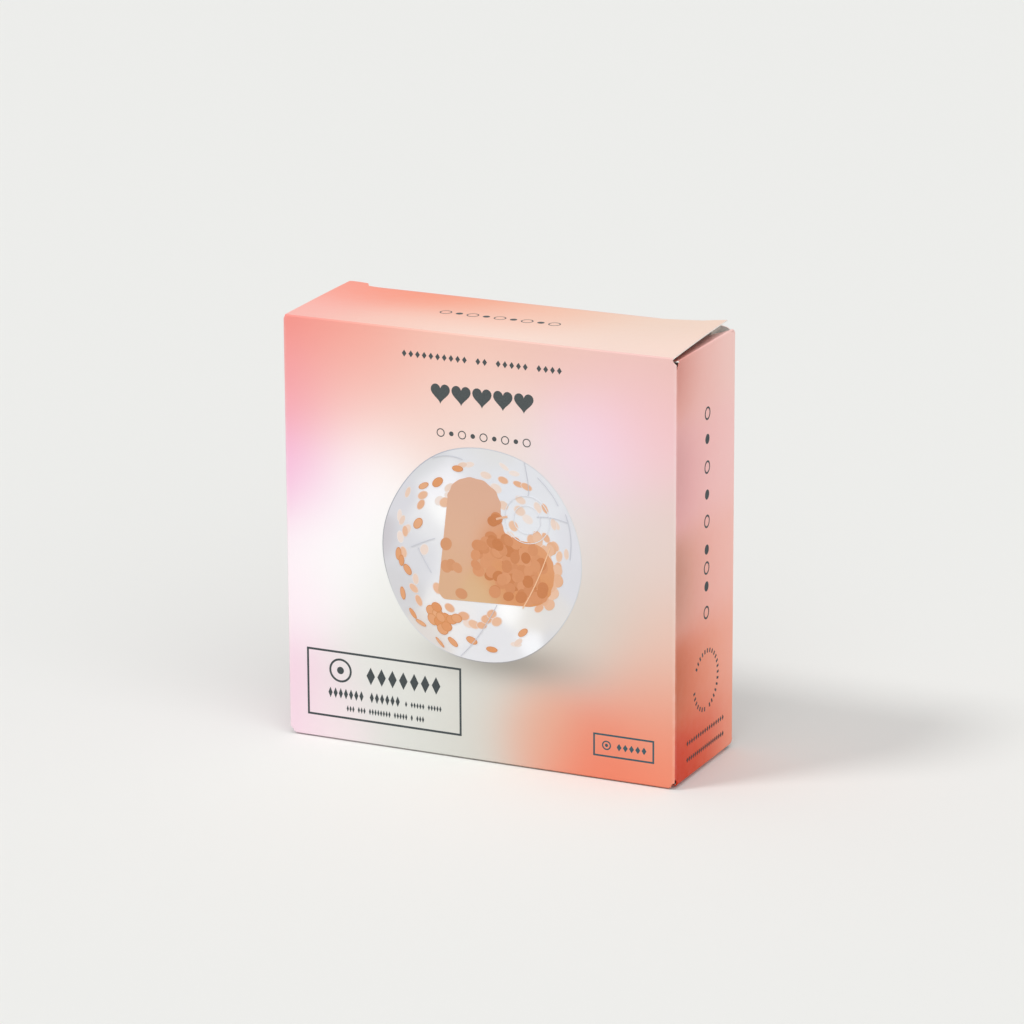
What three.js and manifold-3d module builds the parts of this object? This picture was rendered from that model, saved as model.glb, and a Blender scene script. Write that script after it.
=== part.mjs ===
// A closed tuck-end folding carton with a folded, deflated beach ball inside.
// Units are millimetres and +Z is up. The printed front faces -Y, and the origin
// is the middle of the rectangle that the carton stands on.
import * as THREE from "three";
import { mergeVertices } from "three/addons/utils/BufferGeometryUtils.js";
import Module from "manifold-3d";

const wasm = await Module();
wasm.setup();

// --- driving dimensions of the carton -------------------------------------------
const WIDTH = 175;
const DEPTH = 60;
const HEIGHT = 180;
const BOARD = 0.5; // paperboard thickness
const FOLD_GAP = 0.3; // clearance left between two boards that meet at a fold

// --- end closures, the same at the top and the bottom ----------------------------
const LID_INSET = 1.2; // the lid panel stops short of each side panel's outer face
const LID_TO_FLAP = 0.5; // air between the lid panel and the dust flaps under it
const TUCK_RECESS = 3; // tuck crease, measured in from the outer face of the back
const TUCK_LENGTH = 16; // tuck flap, from its crease to its free edge
const TUCK_TOP_GAP = 0.9; // room for the tuck flap to turn under the lid panel
const SHOULDER = 8; // uncreased end of the lid's back edge, beside each slit
const TUCK_CORNER = 12; // corner radius of the tuck flap's free edge
const DUST_REACH = 32; // dust flap, from its crease to its free edge
const DUST_FRONT_INSET = 2.5; // dust flap's front corner, behind the front panel
const DUST_TAPER = 30; // degrees that the dust flap's front edge slopes back
const DUST_TUCK_GAP = 1; // dust flap's back edge, in front of the tuck flap
const DUST_CORNER = 6;
const SIDE_RELIEF = 1.5; // corner cut at the front of each side panel's creases

// --- glue flap --------------------------------------------------------------------
const GLUE_WIDTH = 15;
const GLUE_END_INSET = 6; // its ends stop short of the panel's ends
const GLUE_TAPER = 6; // and narrow by this much towards its free edge

// --- the ball, folded flat --------------------------------------------------------
const BALL_DIAMETER = 350;
const GORES = 6;
const FILM = 0.25; // thickness of one gore's film
const FILM_PITCH = 1.2; // from one gore to the next through the folded stack
const LEG_PITCH = 10.5; // from one leg of the zigzag fold to the next
const PACK_WIDTH = 160; // the gores' edges are turned in to this width
const PACK_BASE = 2; // lowest fold, above the outer face of the carton's base
const POLE_WIDTH = 20; // what is left of a gore's width at the pole
const TAPER_STEPS = 8;
const ARC_SEGMENTS = 8;

// --- the heart inside the ball ----------------------------------------------------
const HEART_FILM = 0.6;
const HEART_WIDTH = 130;
const HEART_LEG = 92; // length of its two legs, either side of the middle fold

// --- pole caps and inflation valve ------------------------------------------------
const CAP_RADIUS = 12;
const CAP_THICKNESS = 0.6;
const FLANGE_RADIUS = 10;
const FLANGE_THICKNESS = 0.8;
const STEM_RADIUS = 5;
const STEM_BORE_RADIUS = 3.2;
const STEM_HEIGHT = 9;
const PLUG_PIN_RADIUS = 2.8;
const PLUG_PIN_LENGTH = 6;
const PLUG_HEAD_RADIUS = 5.5;
const PLUG_HEAD_THICKNESS = 1.2;
const TETHER_WIDTH = 2;
const TETHER_THICKNESS = 0.8;

// --- spare patch ------------------------------------------------------------------
const PATCH_SIZE = 46;
const PATCH_CORNER = 5;
const PATCH_THICKNESS = 0.5;
const PATCH_X = 52;
const PATCH_CLEARANCE = 2; // between the patch and the folded ball behind it

// --- values worked out from the dimensions above ----------------------------------
const halfWidth = WIDTH / 2;
const halfDepth = DEPTH / 2;
const insideFront = -halfDepth + BOARD + FOLD_GAP;
const insideBack = halfDepth - BOARD - FOLD_GAP;
const creaseDrop = BOARD + LID_TO_FLAP; // side creases, below the lid's outer face
const tuckCrease = halfDepth - TUCK_RECESS;
const goreLength = (Math.PI * BALL_DIAMETER) / 2;
const goreWidth = (Math.PI * BALL_DIAMETER) / GORES;
const stackReach = ((GORES - 1) / 2 + 0.5) * FILM_PITCH + FILM / 2;
const bottomTurn = PACK_BASE + LEG_PITCH / 2 + stackReach; // centre of the lower folds
const turnLength = (Math.PI * LEG_PITCH) / 2;
const poleRise = LEG_PITCH / 2 + stackReach + 1; // pole ends, above the top fold's centre
const innerLeg = (goreLength - 3 * turnLength - 2 * poleRise) / 4;
const topTurn = bottomTurn + innerLeg;
const poleEnd = topTurn + poleRise;
const legY = [-1.5, -0.5, 0.5, 1.5].map((step) => step * LEG_PITCH);

// --- materials --------------------------------------------------------------------
function material(color, roughness, opacity = 1) {
  return new THREE.MeshStandardMaterial({
    color,
    roughness,
    metalness: 0,
    opacity,
    transparent: opacity < 1,
  });
}

const printedBoard = material(0xf0a08c, 0.45);
const rawBoard = material(0xf2efe9, 0.85);
const clearFilm = material(0xf4f0ee, 0.12, 0.45);
const heartFilm = material(0xf3926b, 0.2, 0.7);
const clearMoulding = material(0xeeeeea, 0.2, 0.6);
const patchFilm = material(0xf0f0ee, 0.15, 0.5);

// --- shared helpers ---------------------------------------------------------------
function outline(points) {
  return new THREE.Shape(points.map(([u, v]) => new THREE.Vector2(u, v)));
}

function plate(shape, thickness) {
  return new THREE.ExtrudeGeometry(shape, {
    depth: thickness,
    bevelEnabled: false,
    curveSegments: ARC_SEGMENTS,
  });
}

// The outline's u and v run along X and Y. The plate fills z0 to z0 + thickness.
function lyingPlate(shape, thickness, z0) {
  return plate(shape, thickness).translate(0, 0, z0);
}

// The outline's u and v run along X and Z. The plate fills y0 to y0 + thickness.
function frontFacingPlate(shape, thickness, y0) {
  return plate(shape, thickness)
    .rotateX(Math.PI / 2)
    .translate(0, y0 + thickness, 0);
}

// The outline's u and v run along Y and Z. The plate fills x0 to x0 + thickness.
function sideFacingPlate(shape, thickness, x0) {
  return plate(shape, thickness)
    .rotateX(Math.PI / 2)
    .rotateZ(Math.PI / 2)
    .translate(x0, 0, 0);
}

function named(name, geometry, surface) {
  const mesh = new THREE.Mesh(geometry, surface);
  mesh.name = name;
  return mesh;
}

function toSolid(geometry) {
  const bare = geometry.clone();
  bare.deleteAttribute("normal");
  bare.deleteAttribute("uv");
  const merged = mergeVertices(bare, 1e-4);
  return new wasm.Manifold(
    new wasm.Mesh({
      numProp: 3,
      vertProperties: merged.attributes.position.array,
      triVerts: new Uint32Array(merged.index.array),
    }),
  );
}

function toGeometry(solid) {
  const { vertProperties, triVerts } = solid.getMesh();
  const geometry = new THREE.BufferGeometry();
  geometry.setAttribute(
    "position",
    new THREE.BufferAttribute(new Float32Array(vertProperties), 3),
  );
  geometry.setIndex(new THREE.BufferAttribute(new Uint32Array(triVerts), 1));
  geometry.computeVertexNormals();
  return geometry;
}

// --- wall panels ------------------------------------------------------------------
function frontPanel() {
  const shape = outline([
    [-halfWidth, 0],
    [halfWidth, 0],
    [halfWidth, HEIGHT],
    [-halfWidth, HEIGHT],
  ]);
  return named("front_panel", frontFacingPlate(shape, BOARD, -halfDepth), printedBoard);
}

// Its top and bottom are cut edges, level with the creases of the side panels.
function backPanel() {
  const shape = outline([
    [-halfWidth, creaseDrop],
    [halfWidth, creaseDrop],
    [halfWidth, HEIGHT - creaseDrop],
    [-halfWidth, HEIGHT - creaseDrop],
  ]);
  const y0 = halfDepth - BOARD;
  return named("back_panel", frontFacingPlate(shape, BOARD, y0), printedBoard);
}

function sidePanel(name, x0) {
  const low = creaseDrop;
  const high = HEIGHT - creaseDrop;
  const shape = outline([
    [insideFront + SIDE_RELIEF, low],
    [insideBack, low],
    [insideBack, high],
    [insideFront + SIDE_RELIEF, high],
    [insideFront, high - SIDE_RELIEF],
    [insideFront, low + SIDE_RELIEF],
  ]);
  return named(name, sideFacingPlate(shape, BOARD, x0), printedBoard);
}

// Glued to the inside of the back panel, along the left side panel's back edge.
function glueFlap() {
  const fold = -halfWidth + BOARD + FOLD_GAP;
  const free = fold + GLUE_WIDTH;
  const end = GLUE_END_INSET + GLUE_TAPER;
  const shape = outline([
    [fold, GLUE_END_INSET],
    [free, end],
    [free, HEIGHT - end],
    [fold, HEIGHT - GLUE_END_INSET],
  ]);
  const y0 = insideBack - BOARD;
  return named("glue_flap", frontFacingPlate(shape, BOARD, y0), rawBoard);
}

// --- end closures -----------------------------------------------------------------
// A closure is drawn with z = 0 at its outer face and its flaps below that.

// The lid panel's back edge keeps a shoulder at each end, where the slit stops the crease.
function lidPanel(name) {
  const half = halfWidth - LID_INSET;
  const slope = insideBack - tuckCrease;
  const shape = outline([
    [-half, insideFront],
    [half, insideFront],
    [half, insideBack],
    [half - SHOULDER, insideBack],
    [half - SHOULDER - slope, tuckCrease],
    [-half + SHOULDER + slope, tuckCrease],
    [-half + SHOULDER, insideBack],
    [-half, insideBack],
  ]);
  return named(name, lyingPlate(shape, BOARD, -BOARD), printedBoard);
}

function tuckFlap(name) {
  const half = halfWidth - LID_INSET - SHOULDER;
  const top = -BOARD - TUCK_TOP_GAP;
  const shape = new THREE.Shape();
  shape.moveTo(-half, top);
  shape.lineTo(-half, -TUCK_LENGTH + TUCK_CORNER);
  shape.absarc(
    -half + TUCK_CORNER, -TUCK_LENGTH + TUCK_CORNER, TUCK_CORNER, Math.PI, 1.5 * Math.PI, false,
  );
  shape.absarc(
    half - TUCK_CORNER, -TUCK_LENGTH + TUCK_CORNER, TUCK_CORNER, 1.5 * Math.PI, 2 * Math.PI, false,
  );
  shape.lineTo(half, top);
  shape.closePath();
  const y0 = tuckCrease - BOARD;
  return named(name, frontFacingPlate(shape, BOARD, y0), printedBoard);
}

// The right-hand dust flap. Its front edge slopes back, so that the lid clears it as both open.
function dustFlap(name) {
  const fold = halfWidth - BOARD - FOLD_GAP;
  const free = halfWidth - DUST_REACH;
  const front = -halfDepth + DUST_FRONT_INSET;
  const slope = (fold - free) * Math.tan(THREE.MathUtils.degToRad(DUST_TAPER));
  const back = tuckCrease - BOARD - DUST_TUCK_GAP;
  const shape = new THREE.Shape();
  shape.moveTo(fold, front);
  shape.lineTo(fold, back);
  shape.lineTo(free + DUST_CORNER, back);
  shape.absarc(
    free + DUST_CORNER, back - DUST_CORNER, DUST_CORNER, Math.PI / 2, Math.PI, false,
  );
  shape.lineTo(free, front + slope);
  shape.closePath();
  return named(name, lyingPlate(shape, BOARD, -creaseDrop - BOARD), printedBoard);
}

function closure(end, lidName) {
  const group = new THREE.Group();
  const right = dustFlap(end + "_right_dust_flap");
  const left = dustFlap(end + "_left_dust_flap");
  left.scale.x = -1;
  group.add(lidPanel(lidName), tuckFlap(end + "_tuck_flap"), right, left);
  return group;
}

// --- the folded ball --------------------------------------------------------------
// One face of a film that follows the zigzag: down, up, down and up between the poles.
// offset shifts it sideways through the stack, and backwards draws it from the far pole.
function zigzagFace(shape, offset, backwards) {
  const [y1, y2, y3, y4] = legY;
  const tight = LEG_PITCH / 2 - offset;
  const wide = LEG_PITCH / 2 + offset;
  const firstTurn = (y1 + y2) / 2;
  const middleTurn = (y2 + y3) / 2;
  const lastTurn = (y3 + y4) / 2;
  if (backwards) {
    shape.lineTo(y4 - offset, poleEnd);
    shape.absarc(lastTurn, bottomTurn, tight, 2 * Math.PI, Math.PI, true);
    shape.absarc(middleTurn, topTurn, wide, 0, Math.PI, false);
    shape.absarc(firstTurn, bottomTurn, tight, 2 * Math.PI, Math.PI, true);
    shape.lineTo(y1 + offset, poleEnd);
    return;
  }
  shape.moveTo(y1 + offset, poleEnd);
  shape.absarc(firstTurn, bottomTurn, tight, Math.PI, 2 * Math.PI, false);
  shape.absarc(middleTurn, topTurn, wide, Math.PI, 0, true);
  shape.absarc(lastTurn, bottomTurn, tight, Math.PI, 2 * Math.PI, false);
  shape.lineTo(y4 - offset, poleEnd);
}

function foldedFilm(offset, thickness, width) {
  const shape = new THREE.Shape();
  zigzagFace(shape, offset - thickness / 2, false);
  zigzagFace(shape, offset + thickness / 2, true);
  shape.closePath();
  return sideFacingPlate(shape, width, -width / 2);
}

// Half of a gore's width at a height on its first or last leg: it narrows to the pole.
function goreHalfWidth(z) {
  const fromPole = poleEnd - z;
  const flat = (goreWidth / 2) * Math.sin((Math.PI * fromPole) / goreLength);
  return Math.min(PACK_WIDTH / 2, Math.max(POLE_WIDTH / 2, flat));
}

// What is cut from a film beside its first or last leg, on the +X side.
function taperCut(y) {
  const points = [];
  for (let i = 0; i <= TAPER_STEPS; i += 1) {
    const z = bottomTurn + ((poleEnd - bottomTurn) * i) / TAPER_STEPS;
    points.push([goreHalfWidth(z), z]);
  }
  points.push([goreHalfWidth(poleEnd), poleEnd + 1]);
  points.push([PACK_WIDTH, poleEnd + 1]);
  points.push([PACK_WIDTH, bottomTurn]);
  return frontFacingPlate(outline(points), LEG_PITCH, y - LEG_PITCH / 2);
}

function gore(index) {
  const middle = (GORES - 1) / 2;
  const step = index - middle + Math.sign(index - middle) * 0.5; // leaves the heart's place
  let solid = toSolid(foldedFilm(step * FILM_PITCH, FILM, PACK_WIDTH));
  for (const y of [legY[0], legY[3]]) {
    const cut = toSolid(taperCut(y));
    solid = solid.subtract(cut).subtract(cut.mirror([1, 0, 0]));
  }
  return named("ball_gore_" + (index + 1), toGeometry(solid), clearFilm);
}

// The heart lies flat between the third and fourth gores, folded once over the middle turn.
function innerHeart() {
  const shape = new THREE.Shape();
  const inner = LEG_PITCH / 2 - HEART_FILM / 2;
  const outer = LEG_PITCH / 2 + HEART_FILM / 2;
  const foot = topTurn - HEART_LEG;
  shape.moveTo(-outer, foot);
  shape.absarc(0, topTurn, outer, Math.PI, 0, true);
  shape.lineTo(outer, foot);
  shape.lineTo(inner, foot);
  shape.absarc(0, topTurn, inner, 0, Math.PI, false);
  shape.lineTo(-inner, foot);
  shape.closePath();
  const geometry = sideFacingPlate(shape, HEART_WIDTH, -HEART_WIDTH / 2);
  return named("inner_heart", geometry, heartFilm);
}

function turned(points, surface, name) {
  const profile = points.map(([r, z]) => new THREE.Vector2(r, z));
  const geometry = new THREE.LatheGeometry(profile, 32).rotateX(Math.PI / 2);
  return named(name, geometry, surface);
}

function poleCap(name, y) {
  const cap = turned(
    [
      [0, 0],
      [CAP_RADIUS, 0],
      [CAP_RADIUS, CAP_THICKNESS],
      [0, CAP_THICKNESS],
    ],
    clearFilm,
    name,
  );
  cap.position.set(0, y, poleEnd + FOLD_GAP);
  return cap;
}

// A flange with a tubular stem, open from end to end.
function valveBody() {
  return turned(
    [
      [STEM_BORE_RADIUS, 0],
      [FLANGE_RADIUS, 0],
      [FLANGE_RADIUS, FLANGE_THICKNESS],
      [STEM_RADIUS, FLANGE_THICKNESS],
      [STEM_RADIUS, STEM_HEIGHT],
      [STEM_BORE_RADIUS, STEM_HEIGHT],
      [STEM_BORE_RADIUS, 0],
    ],
    clearMoulding,
    "valve_body",
  );
}

function valvePlug() {
  const plug = turned(
    [
      [0, -PLUG_PIN_LENGTH],
      [PLUG_PIN_RADIUS, -PLUG_PIN_LENGTH],
      [PLUG_PIN_RADIUS, 0],
      [PLUG_HEAD_RADIUS, 0],
      [PLUG_HEAD_RADIUS, PLUG_HEAD_THICKNESS],
      [0, PLUG_HEAD_THICKNESS],
    ],
    clearMoulding,
    "valve_plug",
  );
  plug.position.z = STEM_HEIGHT + FOLD_GAP;
  return plug;
}

// A strap in a half circle from the flange's rim to the rim of the plug's head.
function valveTether() {
  const foot = [FLANGE_RADIUS + TETHER_THICKNESS, FLANGE_THICKNESS / 2];
  const head = [
    PLUG_HEAD_RADIUS + TETHER_THICKNESS,
    STEM_HEIGHT + FOLD_GAP + PLUG_HEAD_THICKNESS / 2,
  ];
  const rise = head[1] - foot[1];
  const run = head[0] - foot[0];
  const radius = Math.hypot(rise, run) / 2;
  const start = Math.atan2(-rise, -run);
  const centre = [(foot[0] + head[0]) / 2, (foot[1] + head[1]) / 2];
  const outer = radius + TETHER_THICKNESS / 2;
  const inner = radius - TETHER_THICKNESS / 2;
  const shape = new THREE.Shape();
  shape.absarc(centre[0], centre[1], outer, start, start + Math.PI, false);
  shape.absarc(centre[0], centre[1], inner, start + Math.PI, start, true);
  shape.closePath();
  const geometry = frontFacingPlate(shape, TETHER_WIDTH, -TETHER_WIDTH / 2);
  return named("valve_tether", geometry, clearMoulding);
}

function valve() {
  const group = new THREE.Group();
  group.position.set(0, legY[0], poleEnd + CAP_THICKNESS + 2 * FOLD_GAP);
  group.add(valveBody(), valvePlug(), valveTether());
  return group;
}

function repairPatch() {
  const half = PATCH_SIZE / 2;
  const reach = half - PATCH_CORNER;
  const shape = new THREE.Shape();
  shape.absarc(reach, reach, PATCH_CORNER, 0, Math.PI / 2, false);
  shape.absarc(-reach, reach, PATCH_CORNER, Math.PI / 2, Math.PI, false);
  shape.absarc(-reach, -reach, PATCH_CORNER, Math.PI, 1.5 * Math.PI, false);
  shape.absarc(reach, -reach, PATCH_CORNER, 1.5 * Math.PI, 2 * Math.PI, false);
  shape.closePath();
  const y0 = legY[0] - stackReach - PATCH_CLEARANCE - PATCH_THICKNESS;
  const patch = named("repair_patch", frontFacingPlate(shape, PATCH_THICKNESS, y0), patchFilm);
  patch.position.set(PATCH_X, 0, PACK_BASE + half);
  return patch;
}

// --- assembly ---------------------------------------------------------------------
function walls() {
  const group = new THREE.Group();
  group.add(
    frontPanel(),
    backPanel(),
    sidePanel("left_side_panel", -halfWidth),
    sidePanel("right_side_panel", halfWidth - BOARD),
    glueFlap(),
  );
  return group;
}

function foldedBall() {
  const group = new THREE.Group();
  for (let i = 0; i < GORES; i += 1) group.add(gore(i));
  group.add(
    innerHeart(),
    poleCap("front_pole_cap", legY[0]),
    poleCap("back_pole_cap", legY[3]),
    valve(),
    repairPatch(),
  );
  return group;
}

const topClosure = closure("top", "lid_panel");
topClosure.position.z = HEIGHT;
const bottomClosure = closure("bottom", "bottom_panel");
bottomClosure.scale.z = -1;

const carton = new THREE.Group();
carton.add(walls(), topClosure, bottomClosure, foldedBall());

export default carton;
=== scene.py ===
"""Looks of a closed tuck-end carton with a beach ball folded flat inside it.

Each board of the carton is a closed mesh with a printed skin, a raw inside and a cut edge. The
print is a soft gradient in the material, with crisp marks of ink lying on the board. Lengths are
in metres, +Z is up and the printed front faces -Y.
"""

import math
import random
from collections import namedtuple
from functools import reduce
from math import atan2, cos, pi, radians, sin, sqrt, tan

import bmesh
import bpy
from mathutils import Matrix, Vector, noise
from mathutils.geometry import tessellate_polygon


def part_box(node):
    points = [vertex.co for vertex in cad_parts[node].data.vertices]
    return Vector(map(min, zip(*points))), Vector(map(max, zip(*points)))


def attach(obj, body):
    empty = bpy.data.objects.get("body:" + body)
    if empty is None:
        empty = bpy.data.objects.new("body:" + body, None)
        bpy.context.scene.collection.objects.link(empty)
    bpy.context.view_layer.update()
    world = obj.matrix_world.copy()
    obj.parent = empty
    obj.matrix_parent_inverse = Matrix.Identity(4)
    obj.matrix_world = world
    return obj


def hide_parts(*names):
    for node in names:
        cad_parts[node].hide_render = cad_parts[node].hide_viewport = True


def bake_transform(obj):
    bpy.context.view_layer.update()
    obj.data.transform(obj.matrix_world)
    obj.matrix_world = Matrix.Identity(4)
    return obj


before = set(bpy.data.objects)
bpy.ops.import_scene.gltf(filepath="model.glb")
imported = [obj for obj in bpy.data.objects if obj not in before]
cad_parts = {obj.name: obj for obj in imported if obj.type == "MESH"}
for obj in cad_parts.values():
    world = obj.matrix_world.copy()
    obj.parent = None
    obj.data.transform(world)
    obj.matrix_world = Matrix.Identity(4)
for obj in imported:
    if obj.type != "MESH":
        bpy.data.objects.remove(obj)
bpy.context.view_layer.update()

MM = 0.001
X, Y, Z = Vector((1, 0, 0)), Vector((0, 1, 0)), Vector((0, 0, 1))

# --- sizes from the frame
front_low, front_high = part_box("front_panel")
back_low, back_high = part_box("back_panel")
tuck_low, tuck_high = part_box("top_tuck_flap")
dust_low, dust_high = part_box("top_right_dust_flap")
glue_low, glue_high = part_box("glue_flap")
patch_low, patch_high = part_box("repair_patch")

HALF_WIDTH = front_high.x
HALF_DEPTH = back_high.y
HEIGHT = front_high.z
BOARD = front_high.y - front_low.y
SIDE_FOOT = HEIGHT - dust_high.z
SIDE_TOP = dust_high.z - 0.45 * MM  # the side panels' creases have settled under the lid
TUCK_Y = tuck_high.y
TUCK_FOOT = tuck_low.z
TUCK_HALF = tuck_high.x
DUST_FREE = dust_low.x
DUST_FRONT = dust_low.y
DUST_BACK = dust_high.y

# --- sizes of the looks, which the plain CAD model leaves out
FOLD = 0.65 * MM  # outer radius of the carton's folds
TUCK_FOLD = 1.2 * MM
SLIT_SLOPE = 2.2 * MM
SLIT_SLOPE_RIGHT = 9.5 * MM  # the lid's right shoulder has pulled out flat
LID_RIGHT_INSET = 1.65 * MM
LID_LEFT_INSET = 0.8 * MM
LID_BACK_TAPER = 1.8 * MM  # the lid is this much narrower at its back right corner
LID_CORNER_LIFT = 1.6 * MM
LID_LEFT_LIFT = 0.7 * MM
SIDE_NOTCH = 2.2 * MM  # relief cut at each side panel's front corners
FRONT_NOTCH = 1.8 * MM
TOP_LEFT_NOTCH = 0.6 * MM
BASE_INSET = 2.6 * MM  # the bottom closure is this much narrower than the sleeve at each end
BACK_ROUND = 2.8 * MM
ROUND_REACH = 8 * MM  # the height within which the side panels' edges round off
BACK_TOP_ROUND = 6 * MM
DUST_CORNER = 6 * MM
TUCK_CORNER = 12 * MM
DUST_TAPER = radians(30)
DUST_DROOP = radians(19)  # the flaps under the lid hang a little into the carton
GLUE_TAPER = 6 * MM
SEAM_GAP = 0.4 * MM  # between the back panel's free edge and the fold beside it


# --- camera, floor and light
CAMERA_AZIMUTH = radians(25.13)
CAMERA_ELEVATION = radians(16.52)
CAMERA_ROLL = radians(-0.27)
CAMERA_DISTANCE = 11.81 * HEIGHT
CAMERA_TARGET = Vector((0.007, 0, 0.547)) * HEIGHT
CAMERA_LENS = 182.0


def make_camera():
    sine, cosine = sin(CAMERA_AZIMUTH), cos(CAMERA_AZIMUTH)
    level = cos(CAMERA_ELEVATION)
    forward = Vector((-sine * level, cosine * level, -sin(CAMERA_ELEVATION)))
    right = Vector((cosine, sine, 0))
    up = right.cross(forward)
    rolled_right = right * cos(CAMERA_ROLL) + up * sin(CAMERA_ROLL)
    rolled_up = up * cos(CAMERA_ROLL) - right * sin(CAMERA_ROLL)
    data = bpy.data.cameras.new("camera")
    data.lens = CAMERA_LENS
    camera = bpy.data.objects.new("camera", data)
    camera.matrix_world = Matrix((rolled_right, rolled_up, -forward)).transposed().to_4x4()
    camera.location = CAMERA_TARGET - forward * CAMERA_DISTANCE
    bpy.context.collection.objects.link(camera)
    bpy.context.scene.camera = camera


def srgb(code):
    """A hex colour as linear red, green and blue."""
    shares = [int(code[i : i + 2], 16) / 255 for i in (0, 2, 4)]
    return [s / 12.92 if s <= 0.04045 else ((s + 0.055) / 1.055) ** 2.4 for s in shares]


FLOOR_COLOUR = srgb("eaeae7")
FLOOR_GAP = 0.5 * MM  # keeps the floor off the opened bottom lid, and a thin dark line shows
WORLD_COLOUR = srgb("f4f5f6")
WORLD_STRENGTH = 0.53
SUNS = [  # name, strength, spread in degrees, the way it shines
    ("key", 0.98, 14, Vector((0.49, 0.47, -1.0))),
    ("fill", 1.32, 70, Vector((-0.45, 0.54, -0.71))),
]


def make_stage():
    reach = 30
    ends = ((-1, -1), (1, -1), (1, 1), (-1, 1))
    mesh = bpy.data.meshes.new("floor")
    mesh.from_pydata([(x * reach, y * reach, -FLOOR_GAP) for x, y in ends], [], [(0, 1, 2, 3)])
    floor = bpy.data.objects.new("floor", mesh)
    bpy.context.collection.objects.link(floor)
    paint = Paint("pale_floor")
    paint.shade({"Base Color": FLOOR_COLOUR, "Roughness": 0.9, "Specular IOR Level": 0.2})
    mesh.materials.append(paint.material)


def make_lights():
    world = bpy.data.worlds.new("studio")
    world.use_nodes = True
    background = world.node_tree.nodes["Background"]
    background.inputs["Color"].default_value = [*WORLD_COLOUR, 1]
    background.inputs["Strength"].default_value = WORLD_STRENGTH
    bpy.context.scene.world = world
    for name, strength, spread, direction in SUNS:
        data = bpy.data.lights.new(name, "SUN")
        data.energy = strength
        data.angle = radians(spread)
        sun = bpy.data.objects.new(name, data)
        sun.rotation_euler = direction.to_track_quat("-Z", "Y").to_euler()
        bpy.context.collection.objects.link(sun)
    bpy.context.scene.view_settings.view_transform = "Standard"


# --- materials
RELIEF_DEPTH = 0.05 * MM


class Paint:
    """A new material, with short calls for the nodes that it is made of."""

    def __init__(self, name):
        self.material = bpy.data.materials.new(name)
        self.material.use_nodes = True
        self.tree = self.material.node_tree
        self.shader = self.tree.nodes["Principled BSDF"]

    def wire(self, socket, value):
        """Feeds a socket from another one, or sets it to a number, a vector or a colour."""
        if isinstance(value, bpy.types.NodeSocket):
            self.tree.links.new(value, socket)
        else:
            socket.default_value = [*value, 1] if socket.type == "RGBA" else value

    def shade(self, values):
        for name, value in values.items():
            self.wire(self.shader.inputs[name], value)

    def node(self, kind, feeds, output=0, **settings):
        """The output of a new node. Its settings come first, as some of them change its sockets."""
        node = self.tree.nodes.new("ShaderNode" + kind)
        for name, value in settings.items():
            setattr(node, name, value)
        for name, value in feeds.items():
            self.wire(node.inputs[name], value)
        return node.outputs[output]

    def maths(self, operation, first, second):
        return self.node("Math", {0: first, 1: second}, operation=operation)

    def vectors(self, operation, first, second, output=0):
        return self.node("VectorMath", {0: first, 1: second}, output, operation=operation)

    def scaled(self, vector, factor):
        return self.node("VectorMath", {0: vector, "Scale": factor}, operation="SCALE")

    def mix(self, share, first, second):
        return self.node("Mix", {"Factor": share, 6: first, 7: second}, 2, data_type="RGBA")

    def attribute(self, name, output):
        return self.node("Attribute", {}, output, attribute_name=name)

    def falloff(self, place, centre, radius):
        """A soft round spot: 1 at its centre, falling as a bell curve."""
        apart = self.vectors("DISTANCE", place, (*centre, 0), "Value")
        share = self.maths("DIVIDE", apart, radius)
        return self.maths("POWER", 1 / math.e, self.maths("POWER", share, 2.0))

    def glow(self, place, glows):
        """A gradient between soft spots of colour, each (across, up, radius, colour)."""
        weights = [self.falloff(place, spot[:2], spot[2]) for spot in glows]
        colours = [self.scaled(srgb(spot[3]), weight) for spot, weight in zip(glows, weights)]
        colour = reduce(lambda a, b: self.vectors("ADD", a, b), colours)
        total = reduce(lambda a, b: self.maths("ADD", a, b), weights)
        return self.scaled(colour, self.maths("DIVIDE", 1.0, total))

    def grain(self, scale, low, high, detail=3.0):
        """Fine noise between two values."""
        place = self.node("TexCoord", {}, "Object")
        noisy = self.node("TexNoise", {"Scale": scale, "Detail": detail, "Vector": place}, "Fac")
        ends = {"From Min": 0.3, "From Max": 0.7, "To Min": low, "To Max": high}
        return self.node("MapRange", {"Value": noisy, **ends}, "Result")

    def relief(self, heights, strength):
        feeds = {"Strength": strength, "Distance": RELIEF_DEPTH, "Height": heights}
        self.shade({"Normal": self.node("Bump", feeds, "Normal")})


# --- colours of the print: across and up are in millimetres on each face
FRONT_GLOWS = [
    (-88, 180, 34, "f28a80"), (-50, 180, 30, "f6a190"), (-10, 182, 34, "f1beac"),
    (40, 182, 30, "eec3b8"), (86, 178, 26, "ebc0b8"), (-88, 150, 20, "f5a1ab"),
    (-60, 150, 24, "f7c3bb"), (-20, 152, 30, "f5cfc3"), (-88, 116, 26, "f5b4d9"),
    (-48, 116, 27, "fefdfd"), (0, 140, 28, "f4dfd7"), (50, 140, 22, "f8d5ec"),
    (76, 150, 24, "f4c5cb"), (-68, 82, 26, "fefefe"), (-86, 62, 20, "fdeaf3"),
    (-30, 60, 34, "e9e9e4"), (24, 110, 34, "e2e1df"), (80, 100, 34, "e4cfc8"),
    (-89, 20, 22, "f4d2e2"), (-66, 10, 16, "f3e2e6"), (-40, 20, 26, "dedfda"),
    (-6, 20, 30, "d2d1c9"), (52, 62, 26, "d4cec4"), (84, 62, 22, "e8c0af"),
    (28, 16, 18, "e5ab8f"), (50, 8, 22, "eb8064"), (78, 14, 26, "ed8a6c"),
    (80, 38, 22, "e8a891"),
]
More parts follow.
